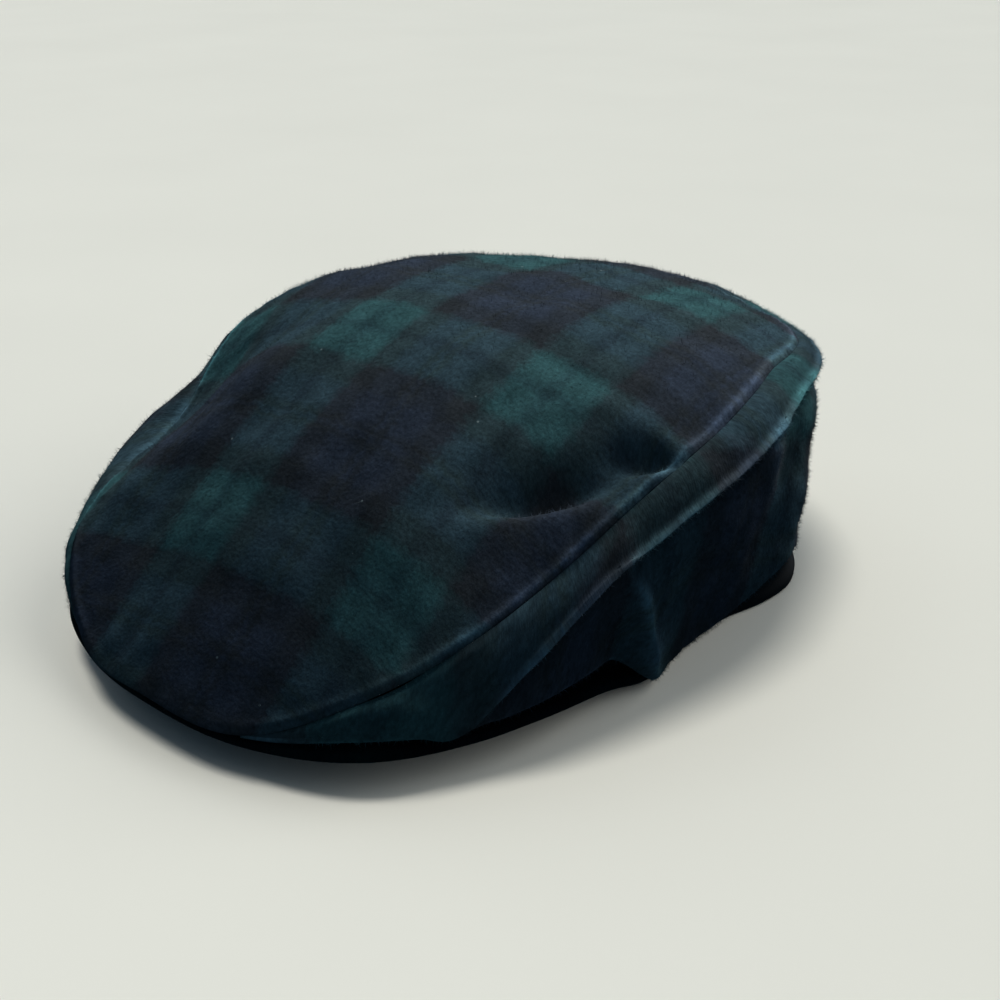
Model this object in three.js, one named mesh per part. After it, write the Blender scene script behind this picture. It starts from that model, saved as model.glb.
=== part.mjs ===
import * as THREE from 'three';

// A tartan driving cap lying on a table, with its peak towards -Y and the wearer's left towards +X.
// Millimetres, +Z up. The origin is on the table, under the middle of the cap.

// Driving dimensions.
const WOOL = 2; // brushed wool cloth with its backing
const SEAM_GAP = 0.4; // parting between neighbouring panels along a seam
const CROWN_TOP = 102; // top of the crown above the table
const SEAM_START = 17.5; // clock angle at which the side seam leaves the front edge
const STRIP_BULGE = 2.2; // how far the strip under the side seam swells
const WALL_BULGE = 1.5; // how far the wall below the crease swells
const PEAK_BOARD = 3.4; // covered peak board, top to underside
const PEAK_END = 66; // clock angle of the peak's ends
const BAND_WALL = 1.5; // folded sweatband cloth
const BAND_HEIGHT = 28; // depth of the sweatband

// Spacing of the sections and rows that the walls are made of.
const TOP_STEP = 5;
const SIDE_STEP = 2.5;
const PEAK_STEP = 6;
const TOP_RINGS = 14;
const STRIP_ROWS = 3;
const WALL_ROWS = 6;
const PEAK_ROWS = 5;
const BAND_ROWS = 2;

// Sections round the crown. The clock angle runs in degrees from the front at 0 to the back at 180, alike on
// both sides. R is the distance from the middle and Z the height, for the seam round the top panel, the
// crease below it and the hem. Round is 1 where the top panel falls as a parabola, less where it falls late.
const CROWN_SECTIONS = [
  { clock: 0, seamR: 143.5, seamZ: 15.7, round: 1, foldR: 143.8, foldZ: 15.2, hemR: 144, hemZ: 14.6 },
  { clock: 15, seamR: 143.3, seamZ: 15.6, round: 1, foldR: 143.6, foldZ: 15, hemR: 143.8, hemZ: 14.3 },
  { clock: 30, seamR: 136.5, seamZ: 30.3, round: 0.85, foldR: 139, foldZ: 22, hemR: 137, hemZ: 16.3 },
  { clock: 42, seamR: 123, seamZ: 42.2, round: 0.72, foldR: 129.1, foldZ: 26.5, hemR: 125.5, hemZ: 15.2 },
  { clock: 50, seamR: 114, seamZ: 50.2, round: 0.65, foldR: 122, foldZ: 31.5, hemR: 117, hemZ: 16.2 },
  { clock: 60, seamR: 106.7, seamZ: 60.7, round: 0.65, foldR: 114.3, foldZ: 44.5, hemR: 107, hemZ: 17.6 },
  { clock: 66, seamR: 103.5, seamZ: 66.5, round: 0.65, foldR: 110.5, foldZ: 52.5, hemR: 101.5, hemZ: 14.5 },
  { clock: 75, seamR: 100.5, seamZ: 73.5, round: 0.55, foldR: 107.5, foldZ: 60.5, hemR: 93.5, hemZ: 3 },
  { clock: 90, seamR: 97.5, seamZ: 81, round: 0.35, foldR: 105.5, foldZ: 68, hemR: 86.5, hemZ: 1.2 },
  { clock: 104, seamR: 95.9, seamZ: 84.6, round: 0.33, foldR: 104.6, foldZ: 74.3, hemR: 88, hemZ: 1.5 },
  { clock: 115, seamR: 96.5, seamZ: 85.7, round: 0.35, foldR: 105, foldZ: 77.7, hemR: 95, hemZ: 5 },
  { clock: 126, seamR: 101.3, seamZ: 84.5, round: 0.38, foldR: 108.6, foldZ: 77.6, hemR: 106, hemZ: 10.5 },
  { clock: 140, seamR: 108.5, seamZ: 81.7, round: 0.45, foldR: 114.5, foldZ: 75.7, hemR: 110, hemZ: 11 },
  { clock: 160, seamR: 112, seamZ: 79.2, round: 0.6, foldR: 120.5, foldZ: 74.2, hemR: 111, hemZ: 10 },
  { clock: 180, seamR: 115, seamZ: 81.6, round: 0.6, foldR: 125, foldZ: 76.2, hemR: 108, hemZ: 9.5 },
];

// Places on the wearer's right where the cloth puffs: the seam and the crease below it leave their sections
// there, outwards and upwards.
const SWELLS = [
  { name: 'front puff', clock: -36, spread: 10, seamOut: 2.2, seamUp: 2.5, creaseOut: 0, creaseUp: 4.5 },
  { name: 'puffed strip', clock: -52, spread: 9, seamOut: -3.4, seamUp: -4.3, creaseOut: 5, creaseUp: 7.6 },
  { name: 'back puff', clock: -81, spread: 14, seamOut: 2.1, seamUp: 2.3, creaseOut: -6, creaseUp: 0.3 },
];

// Dents and soft ridges of the top panel, beside its left seam. Turn is the heading of the long way, in
// degrees from +X towards +Y. Long and wide are the reach to each side, and height is up.
const TOP_FOLDS = [
  { name: 'long valley', x: 84, y: -42, turn: 68, long: 24, wide: 6, height: -4.5 },
  { name: 'ridge under the valley', x: 80, y: -62, turn: 56, long: 26, wide: 6, height: 2.5 },
  { name: 'ridge to the seam', x: 78, y: -7, turn: 9, long: 16, wide: 5, height: 2.2 },
  { name: 'hollow behind the ridge', x: 86, y: 6, turn: 20, long: 10, wide: 6, height: -2.5 },
];

// Folds of the left wall. Each runs down the wall from the clock angle at the crease to the one at the hem, is
// strongest the given share of the way down, and stands out by the given height.
const WALL_FOLDS = [
  { name: 'pleat', crease: 63.5, hem: 75.5, spread: 2.6, strongest: 0.7, reach: 0.5, height: 4 },
  { name: 'tuck beside the pleat', crease: 58, hem: 68, spread: 4, strongest: 1, reach: 0.35, height: -6 },
  { name: 'hollow below', crease: 52, hem: 60, spread: 9, strongest: 0.35, reach: 0.25, height: -3.5 },
  { name: 'back fold', crease: 102, hem: 118, spread: 3.2, strongest: 0.2, reach: 0.25, height: 1.8 },
];

// Sections of the peak: its outer and inner edge, and the height of its top face along each.
const PEAK_SECTIONS = [
  { clock: 0, outerR: 141.2, outerZ: 13.2, innerR: 84.5, innerZ: 25 },
  { clock: 15, outerR: 142, outerZ: 13.3, innerR: 85.2, innerZ: 24 },
  { clock: 30, outerR: 140.2, outerZ: 15.4, innerR: 86.7, innerZ: 20.5 },
  { clock: 42, outerR: 126.5, outerZ: 14.6, innerR: 87.7, innerZ: 16.5 },
  { clock: 50, outerR: 117.5, outerZ: 14.7, innerR: 88.2, innerZ: 14.6 },
  { clock: 60, outerR: 104.5, outerZ: 11.6, innerR: 88.7, innerZ: 11 },
  { clock: PEAK_END, outerR: 98, outerZ: 9, innerR: 88.8, innerZ: 8.2 },
];

// Sections of the sweatband: its outer face and its lower edge.
const BAND_SECTIONS = [
  { clock: 0, outerR: 84, lowZ: 19.5 },
  { clock: 30, outerR: 86, lowZ: 15.5 },
  { clock: 50, outerR: 87.5, lowZ: 8.5 },
  { clock: 66, outerR: 88, lowZ: 1 },
  { clock: 75, outerR: 87, lowZ: 0 },
  { clock: 90, outerR: 83.8, lowZ: 0 },
  { clock: 104, outerR: 85.3, lowZ: 0 },
  { clock: 115, outerR: 92.3, lowZ: 0 },
  { clock: 126, outerR: 103, lowZ: 0 },
  { clock: 140, outerR: 107.2, lowZ: 0 },
  { clock: 160, outerR: 108.3, lowZ: 0 },
  { clock: 180, outerR: 105.4, lowZ: 0 },
];

const { degToRad, euclideanModulo, lerp, radToDeg } = THREE.MathUtils;

/** A smooth curve through the named columns of a table, mirrored about the front and the back. */
function sectionCurve(rows) {
  const columns = Object.keys(rows[0]).filter((name) => name !== 'clock');
  const clocks = rows.map((row) => row.clock);
  const values = rows.flatMap((row) => columns.map((name) => row[name]));
  const curve = new THREE.CubicInterpolant(clocks, values, columns.length);
  curve.settings = { endingStart: THREE.ZeroSlopeEnding, endingEnd: THREE.ZeroSlopeEnding };
  return (clock) => {
    const turned = Math.abs(euclideanModulo(clock + 180, 360) - 180);
    const found = curve.evaluate(turned);
    return Object.fromEntries(columns.map((name, i) => [name, found[i]]));
  };
}

const crownSection = sectionCurve(CROWN_SECTIONS);
const peakSection = sectionCurve(PEAK_SECTIONS);
const bandSection = sectionCurve(BAND_SECTIONS);

/** A bell of height 1 that is 0.6 at the given reach. */
function bell(offset, reach) {
  return Math.exp(-0.5 * (offset / reach) ** 2);
}

/** The crown's section with its swells. */
function crownAt(clock) {
  const section = crownSection(clock);
  for (const swell of SWELLS) {
    const share = bell(clock - swell.clock, swell.spread);
    section.seamR += swell.seamOut * share;
    section.seamZ += swell.seamUp * share;
    section.foldR += swell.creaseOut * share;
    section.foldZ += swell.creaseUp * share;
  }
  return section;
}

function outward(clock) {
  return new THREE.Vector3(Math.sin(degToRad(clock)), -Math.cos(degToRad(clock)), 0);
}

function polar(clock, radius, height) {
  return outward(clock).multiplyScalar(radius).setZ(height);
}

/** Height of the folds of the top panel, which die out at the seam. */
function topFolds(x, y, share) {
  let height = 0;
  for (const fold of TOP_FOLDS) {
    const turn = degToRad(fold.turn);
    const along = (x - fold.x) * Math.cos(turn) + (y - fold.y) * Math.sin(turn);
    const across = (y - fold.y) * Math.cos(turn) - (x - fold.x) * Math.sin(turn);
    height += fold.height * bell(along, fold.long) * bell(across, fold.wide);
  }
  return height * Math.max(0, 1 - share ** 12);
}

/** Height of the top panel's outer face over a point of the table. */
function topHeight(x, y) {
  const section = crownAt(radToDeg(Math.atan2(x, -y)));
  const share = Math.hypot(x, y) / section.seamR;
  const fall = section.round * share ** 2 + (1 - section.round) * share ** 4;
  return CROWN_TOP - (CROWN_TOP - section.seamZ) * fall + topFolds(x, y, share);
}

function topNormal(x, y) {
  const step = 0.5;
  const slopeX = (topHeight(x + step, y) - topHeight(x - step, y)) / (2 * step);
  const slopeY = (topHeight(x, y + step) - topHeight(x, y - step)) / (2 * step);
  return new THREE.Vector3(-slopeX, -slopeY, 1).normalize();
}

/** How far the folds of the left wall stand out, at a share of the way from crease to hem. */
function wallFolds(clock, down) {
  let out = 0;
  for (const fold of WALL_FOLDS) {
    const middle = lerp(fold.crease, fold.hem, down);
    out += fold.height * bell(clock - middle, fold.spread) * bell(down - fold.strongest, fold.reach);
  }
  return out;
}

/** A point of the crown's side. Run goes from the seam at 0 over the crease at 1 to the hem at 2. */
function sidePoint(clock, run) {
  const section = crownAt(clock);
  if (run <= 1) {
    const fallR = section.foldR - section.seamR;
    const fallZ = section.foldZ - section.seamZ;
    const length = Math.hypot(fallR, fallZ);
    const bulge = Math.min(STRIP_BULGE, 0.15 * length) * 4 * run * (1 - run);
    const radius = lerp(section.seamR, section.foldR, run) - (bulge * fallZ) / length;
    return polar(clock, radius, lerp(section.seamZ, section.foldZ, run) + (bulge * fallR) / length);
  }
  const down = run - 1;
  const drop = section.foldZ - section.hemZ;
  const bulge = Math.min(WALL_BULGE, 0.06 * drop) * 4 * down * (1 - down);
  const radius = lerp(section.foldR, section.hemR, down) + bulge + wallFolds(clock, down);
  return polar(clock, radius, lerp(section.foldZ, section.hemZ, down));
}

function sideNormal(clock, run) {
  const alongClock = sidePoint(clock + 1, run).sub(sidePoint(clock - 1, run));
  const downward = sidePoint(clock, Math.min(2, run + 0.05)).sub(sidePoint(clock, Math.max(0, run - 0.05)));
  return downward.cross(alongClock).normalize();
}

/** The seam at a clock angle: its point, the way out of the cloth and the way across it, away from the top. */
function seamFrame(clock) {
  const way = outward(clock);
  const point = sidePoint(clock, 0);
  const inside = point.clone().addScaledVector(way, -1);
  inside.z = topHeight(inside.x, inside.y);
  const fromTop = point.clone().sub(inside).normalize();
  const toSide = sidePoint(clock, 0.1).sub(point).normalize();
  const across = fromTop.add(toSide).normalize();
  const tilt = across.dot(way);
  const normal = way.clone().multiplyScalar(-across.z).setZ(tilt);
  return { point, across, normal };
}

/** A closed wall between an outer face and its inner copy, with every open edge of the face closed over. */
function wallGeometry(outer, inner, faces) {
  const count = outer.length;
  const index = [];
  const open = new Map();
  for (const [a, b, c] of faces) {
    index.push(a, b, c, count + a, count + c, count + b);
    for (const [from, to] of [[a, b], [b, c], [c, a]]) {
      if (!open.delete(`${to} ${from}`)) open.set(`${from} ${to}`, [from, to]);
    }
  }
  for (const [from, to] of open.values()) {
    index.push(to, from, count + from, to, count + from, count + to);
  }
  const geometry = new THREE.BufferGeometry().setFromPoints([...outer, ...inner]);
  geometry.setIndex(index);
  geometry.computeVertexNormals();
  return geometry;
}

/** Triangles of a grid that face out where its columns run along the clock and its rows run down. */
function gridFaces(columns, rows, closed, first = 0) {
  const faces = [];
  const spans = closed ? columns : columns - 1;
  for (let i = 0; i < spans; i += 1) {
    const here = first + i * rows;
    const next = first + ((i + 1) % columns) * rows;
    for (let j = 0; j < rows - 1; j += 1) {
      faces.push([here + j, here + j + 1, next + j + 1], [here + j, next + j + 1, next + j]);
    }
  }
  return faces;
}

function range(from, to, step) {
  return Array.from({ length: Math.round((to - from) / step) + 1 }, (unused, i) => from + i * step);
}

/** The top panel, from the back over the crown to the peak's front edge. */
function topPanel() {
  const clocks = range(-180, 180 - TOP_STEP, TOP_STEP);
  const outer = [new THREE.Vector3(0, 0, topHeight(0, 0))];
  const inner = [new THREE.Vector3(0, 0, topHeight(0, 0) - WOOL)];
  for (const clock of clocks) {
    const seamR = crownAt(clock).seamR;
    for (let ring = 1; ring < TOP_RINGS; ring += 1) {
      const point = polar(clock, (seamR * ring) / TOP_RINGS, 0);
      point.z = topHeight(point.x, point.y);
      outer.push(point);
      inner.push(point.clone().addScaledVector(topNormal(point.x, point.y), -WOOL));
    }
    const seam = seamFrame(clock);
    const rim = seam.point.addScaledVector(seam.across, -SEAM_GAP / 2);
    outer.push(rim);
    inner.push(rim.clone().addScaledVector(seam.normal, -WOOL));
  }
  const fan = clocks.map((clock, i) => [0, 1 + i * TOP_RINGS, 1 + ((i + 1) % clocks.length) * TOP_RINGS]);
  return wallGeometry(outer, inner, [...fan, ...gridFaces(clocks.length, TOP_RINGS, true, 1)]);
}

/** One side panel, from the front of its seam to the back seam. Side is 1 on the left and -1 on the right. */
function sidePanel(side) {
  const clocks = range(SEAM_START, 180, SIDE_STEP).map((clock) => side * clock);
  const stripRuns = range(1, STRIP_ROWS, 1).map((row) => row / STRIP_ROWS);
  const wallRuns = range(1, WALL_ROWS, 1).map((row) => 1 + row / WALL_ROWS);
  const runs = [...stripRuns, ...wallRuns];
  const outer = [];
  const inner = [];
  for (const clock of side > 0 ? clocks : clocks.toReversed()) {
    const seam = seamFrame(clock);
    const edge = seam.point.addScaledVector(seam.across, SEAM_GAP / 2);
    outer.push(edge);
    inner.push(edge.clone().addScaledVector(seam.normal, -WOOL));
    for (const run of runs) {
      const point = sidePoint(clock, run);
      const way = run === 2 ? outward(clock) : sideNormal(clock, run);
      outer.push(point);
      inner.push(point.clone().addScaledVector(way, -WOOL));
    }
  }
  for (const point of [...outer, ...inner]) {
    point.x = side * Math.max(side * point.x, SEAM_GAP / 2);
  }
  return wallGeometry(outer, inner, gridFaces(clocks.length, runs.length + 1, false));
}

/** The peak: a stiff crescent, arched across and sloping down to its front. */
function peak() {
  const clocks = range(-PEAK_END, PEAK_END, PEAK_STEP);
  const upper = [];
  const lower = [];
  for (const clock of clocks) {
    const section = peakSection(clock);
    for (let row = 0; row <= PEAK_ROWS; row += 1) {
      const share = row / PEAK_ROWS;
      const radius = lerp(section.innerR, section.outerR, share);
      const point = polar(clock, radius, lerp(section.innerZ, section.outerZ, share));
      upper.push(point);
      lower.push(point.clone().setZ(point.z - PEAK_BOARD));
    }
  }
  return wallGeometry(upper, lower, gridFaces(clocks.length, PEAK_ROWS + 1, false));
}

/** The sweatband, which stands on the table round the sides and back and rises over the peak's inner edge. */
function sweatband() {
  const clocks = range(-180, 180 - TOP_STEP, TOP_STEP);
  const outer = [];
  const inner = [];
  for (const clock of clocks) {
    const section = bandSection(clock);
    const low = Math.max(0, section.lowZ);
    for (let row = 0; row <= BAND_ROWS; row += 1) {
      const height = low + BAND_HEIGHT * (1 - row / BAND_ROWS);
      outer.push(polar(clock, section.outerR, height));
      inner.push(polar(clock, section.outerR - BAND_WALL, height));
    }
  }
  return wallGeometry(outer, inner, gridFaces(clocks.length, BAND_ROWS + 1, true));
}

const tartan = new THREE.MeshStandardMaterial({ color: '#1b2d33', roughness: 0.95, metalness: 0 });
const shadedTartan = new THREE.MeshStandardMaterial({ color: '#141d26', roughness: 0.95, metalness: 0 });
const peakCloth = new THREE.MeshStandardMaterial({ color: '#0d1319', roughness: 0.9, metalness: 0 });
const blackCotton = new THREE.MeshStandardMaterial({ color: '#08090b', roughness: 0.75, metalness: 0 });

function piece(name, geometry, material) {
  const mesh = new THREE.Mesh(geometry, material);
  mesh.name = name;
  return mesh;
}

const cap = new THREE.Group();
cap.name = 'driving_cap';
cap.add(
  piece('top_panel', topPanel(), tartan),
  piece('side_panel_left', sidePanel(1), shadedTartan),
  piece('side_panel_right', sidePanel(-1), shadedTartan),
  piece('peak', peak(), peakCloth),
  piece('sweatband', sweatband(), blackCotton),
);

// The sections are measured from the crown's middle. The cap is moved so that its own middle is at the origin.
const middle = new THREE.Box3().setFromObject(cap).getCenter(new THREE.Vector3());
cap.position.set(-middle.x, -middle.y, 0);

export default cap;
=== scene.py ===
"""Tartan driving cap: brushed wool panels, a covered peak and a black sweatband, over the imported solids.

Shapes are worked out in millimetres from the crown's middle, and become metres in the frame with the mesh.
A clock angle is in degrees from the front of the cap, positive towards the wearer's left.
"""

import logging
import math
from abc import ABC, abstractmethod
from collections.abc import Callable
from dataclasses import dataclass
from enum import Enum

import bpy
import numpy as np
from bpy.types import Material, Node, NodeSocket, NodeTree, Object
from mathutils import Matrix, Vector


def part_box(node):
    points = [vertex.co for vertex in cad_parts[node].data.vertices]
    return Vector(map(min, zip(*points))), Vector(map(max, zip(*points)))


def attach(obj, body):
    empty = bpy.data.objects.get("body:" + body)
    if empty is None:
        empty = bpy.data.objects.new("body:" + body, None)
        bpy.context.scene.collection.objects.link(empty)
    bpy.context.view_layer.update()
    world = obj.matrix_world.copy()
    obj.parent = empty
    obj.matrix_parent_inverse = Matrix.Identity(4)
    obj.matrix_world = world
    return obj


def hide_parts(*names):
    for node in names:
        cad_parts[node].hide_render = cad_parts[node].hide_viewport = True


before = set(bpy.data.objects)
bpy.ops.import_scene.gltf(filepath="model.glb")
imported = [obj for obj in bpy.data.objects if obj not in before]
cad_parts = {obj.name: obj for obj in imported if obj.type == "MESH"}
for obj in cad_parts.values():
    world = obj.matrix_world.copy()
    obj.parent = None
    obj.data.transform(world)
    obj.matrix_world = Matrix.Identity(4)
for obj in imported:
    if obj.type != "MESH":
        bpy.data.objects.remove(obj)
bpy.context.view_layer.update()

LOG = logging.getLogger("driving_cap")
Array = np.ndarray
Pair = tuple[float, float]  # two sizes, or where a span begins and ends
Surface = Callable[[Array, Array], Array]  # a surface's points, from its two parameters
FaceChoice = Callable[[Array], Array]  # which faces to take, from their middles

MM = 0.001  # one millimetre in the frame's metres
BODY = "root"  # the cap moves as one body
CLOTH_MAP = "cloth"  # UV map that lays a piece flat on its cloth, in metres
PAINTED_HIGHLIGHT = "brushed"  # attribute that holds the painted highlight along folded edges, seams and the hem, where they catch the light
WOOL = 2.0  # brushed wool cloth with its backing
CROWN_TOP = 102.0  # top of the crown above the table
BAND_FRONT = 84.0  # sweatband's outer face at the front, from the crown's middle
MEETING = 0.02  # vertices as near as this are taken as one
MIX_SHARE, MIX_FIRST, MIX_SECOND, MIXED = 0, 6, 7, 2  # sockets of a node that mixes two colours


class Side(Enum):
    """The wearer's side that a panel is on, with the sign of its clock angles."""

    LEFT = 1
    RIGHT = -1


class Lit(Enum):
    """What a studio light falls on, as the way its link to the table is set."""

    TABLE = "INCLUDE"
    CAP = "EXCLUDE"


@dataclass(frozen=True)
class Sections:
    """Sizes at a few clock angles, joined by smooth curves that are level at the front and the back."""

    columns: tuple[str, ...]  # names of the sizes
    rows: tuple[tuple[float, ...], ...]  # a clock angle and the sizes there, for each section

    def at(self, clock: Array) -> dict[str, Array]:
        """Reads the sizes at clock angles.

        Args:
            clock: clock angles on either side, in degrees.

        Returns:
            The sizes at those angles, by column.
        """
        table = np.array(self.rows)
        knots = table[:, 0]
        turned = np.abs((np.asarray(clock, float) + 180) % 360 - 180)
        turned = np.clip(turned, knots[0], knots[-1])
        i = np.clip(np.searchsorted(knots, turned, side="right") - 1, 0, len(knots) - 2)
        width = np.diff(knots)[i]
        t = (turned - knots[i]) / width
        found = {}
        for name, values in zip(self.columns, table.T[1:]):
            slopes = np.diff(values) / np.diff(knots)
            tangents = np.r_[0, (slopes[:-1] + slopes[1:]) / 2, 0]
            found[name] = (
                (1 + 2 * t) * (1 - t) ** 2 * values[i]
                + t * (1 - t) ** 2 * width * tangents[i]
                + t**2 * (3 - 2 * t) * values[i + 1]
                - t**2 * (1 - t) * width * tangents[i + 1]
            )
        return found


@dataclass(frozen=True)
class Ripples:
    """A smooth uneven swell of the cloth, as a sum of waves."""

    seed: int  # picks the waves
    short: float  # shortest wave, in millimetres
    long: float  # longest wave, in millimetres
    height: float  # usual height of the swell, in millimetres
    waves: int = 20  # how many waves are added up

    def at(self, u: Array, v: Array) -> Array:
        """Works out the swell at places on the cloth.

        Args:
            u: places along the cloth, in millimetres.
            v: places across the cloth, in millimetres.

        Returns:
            The height at each place, in millimetres.
        """
        rng = np.random.default_rng(self.seed)
        heading = rng.uniform(0, math.tau, self.waves)
        number = math.tau / rng.uniform(self.short, self.long, self.waves)
        phase = rng.uniform(0, math.tau, self.waves)
        total = np.zeros(np.broadcast(u, v).shape)
        for h, k, p in zip(heading, number, phase):
            total += np.cos(k * (u * math.cos(h) + v * math.sin(h)) + p)
        return self.height * math.sqrt(2 / self.waves) * total


@dataclass(frozen=True)
class Swell:
    """A place where the cloth puffs or sinks, which moves the seam and the crease below it."""

    clock: float  # clock angle of its middle
    spread: float  # its reach to each side, in degrees
    seam_out: float  # how far the seam moves outwards
    seam_up: float  # how far the seam moves up
    crease_out: float  # how far the crease moves outwards
    crease_up: float  # how far the crease moves up


@dataclass(frozen=True)
class TopFold:
    """A dent or soft ridge of the top panel."""

    x: float  # middle of the fold, from the crown's middle
    y: float  # middle of the fold, from the crown's middle
    turn: float  # heading of its long way, in degrees from +X towards +Y
    long: float  # its reach along that way
    wide: float  # its reach across
    height: float  # its height, below 0 for a dent


@dataclass(frozen=True)
class WallFold:
    """A fold that runs down the left wall."""

    crease: float  # clock angle where it leaves the crease
    hem: float  # clock angle where it meets the hem
    spread: float  # its reach to each side, in degrees
    strongest: float  # share of the way down where it stands out most
    reach: float  # how far up and down it lasts, as a share of the way
    height: float  # how far it stands out, below 0 for a tuck

    def share(self, clock: Array, down: Array) -> Array:
        """Gives how strong the fold is at clock angles and shares of the way down the wall, from 0 to 1."""
        middle = self.crease + (self.hem - self.crease) * down
        return bell(clock - middle, self.spread) * bell(down - self.strongest, self.reach)


@dataclass(frozen=True)
class EdgeLine:
    """A bell-shaped rise that runs along an edge, or a weight that comes and goes in the same way."""

    height: float  # its height at the middle
    away: float  # distance of its middle from the edge
    reach: float  # its reach to each side

    def at(self, distance: Array) -> Array:
        """Gives its height at distances from the edge."""
        return self.height * bell(distance - self.away, self.reach)


@dataclass(frozen=True)
class SeamGroove:
    """The groove that a sewn seam draws into the wool, with a dimple at every stitch."""

    depth: float = 0.5  # depth at the seam
    reach: float = 1.1  # how far from the seam the cloth is drawn down
    stitch: float = 3.5  # length of a stitch
    dimple: float = 0.12  # share of the depth that comes and goes with the stitches
    # Share of the depth that comes and goes along the seam.
    uneven: Ripples = Ripples(seed=11, short=9, long=30, height=0.15)
    # The small puckers that run away from the seam.
    gathers: Ripples = Ripples(seed=12, short=6, long=22, height=0.3)
    gathers_reach: float = 6.0  # how far the puckers run

    def lift(self, arc: Array, away: Array) -> Array:
        """Works out how far the cloth is moved by the seam.

        Args:
            arc: places along the seam, in millimetres.
            away: distance from the seam, in millimetres.

        Returns:
            The move along the cloth's outward normal, in millimetres.
        """
        level = np.zeros_like(arc)
        drawn = bell(away, self.reach)
        beat = 1 + self.dimple * np.cos(math.tau * arc / self.stitch)
        dip = self.depth * beat * (1 + self.uneven.at(arc, level)) * drawn
        return self.gathers.at(arc, level) * np.exp(-away / self.gathers_reach) * (1 - drawn) - dip


def bell(offset: Array, reach: float) -> Array:
    """Gives a bell of height 1 that is 0.6 at the given reach."""
    return np.exp(-0.5 * (np.asarray(offset) / reach) ** 2)


def ramp(low: float, high: float, value: Array) -> Array:
    """Gives a smooth step from 0 at low to 1 at high."""
    t = np.clip((np.asarray(value, float) - low) / (high - low), 0, 1)
    return t * t * (3 - 2 * t)


def polar(clock: Array, radius: Array, height: Array) -> Array:
    """Gives points from clock angles, distances from the crown's middle and heights."""
    turn = np.radians(clock)
    return np.stack(np.broadcast_arrays(radius * np.sin(turn), -radius * np.cos(turn), height), axis=-1)


def unit(vectors: Array) -> Array:
    """Gives vectors at length 1."""
    return vectors / np.maximum(np.linalg.norm(vectors, axis=-1, keepdims=True), 1e-12)


def bilinear(table: Array, axis: Array, x: Array, y: Array) -> Array:
    """Reads a table of values over a square grid, between its points.

    Args:
        table: values, with a row for each y and a column for each x.
        axis: evenly spaced places of the rows and of the columns.
        x: places along the rows.
        y: places along the columns.

    Returns:
        The value at each place.
    """
    step = axis[1] - axis[0]
    across = np.clip((x - axis[0]) / step, 0, len(axis) - 1.001)
    along = np.clip((y - axis[0]) / step, 0, len(axis) - 1.001)
    i, j = along.astype(int), across.astype(int)
    s, t = along - i, across - j
    near = table[i, j] * (1 - t) + table[i, j + 1] * t
    far = table[i + 1, j] * (1 - t) + table[i + 1, j + 1] * t
    return near * (1 - s) + far * s


def round_loop(way: Array, shares: tuple[float, ...]) -> tuple[Array, Array, Array]:
    """Runs round a flat closed section: out along a face, round its edge, back and round again.

    Args:
        way: shares of the way round.
        shares: shares of the way at which the four legs begin, and the last one ends.

    Returns:
        The leg, from 0 to 4, the share of the way out, and the turn of the outward normal in radians.
    """
    leg = np.interp(way, shares, np.arange(5))
    legs = [leg < 1, leg < 2, leg < 3]
    none, full = np.zeros_like(leg), np.ones_like(leg)
    out = np.select(legs, [leg, full, 3 - leg], none)
    turn = np.select(legs, [none, leg - 1, full], leg - 2) * math.pi
    return leg, out, turn


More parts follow.
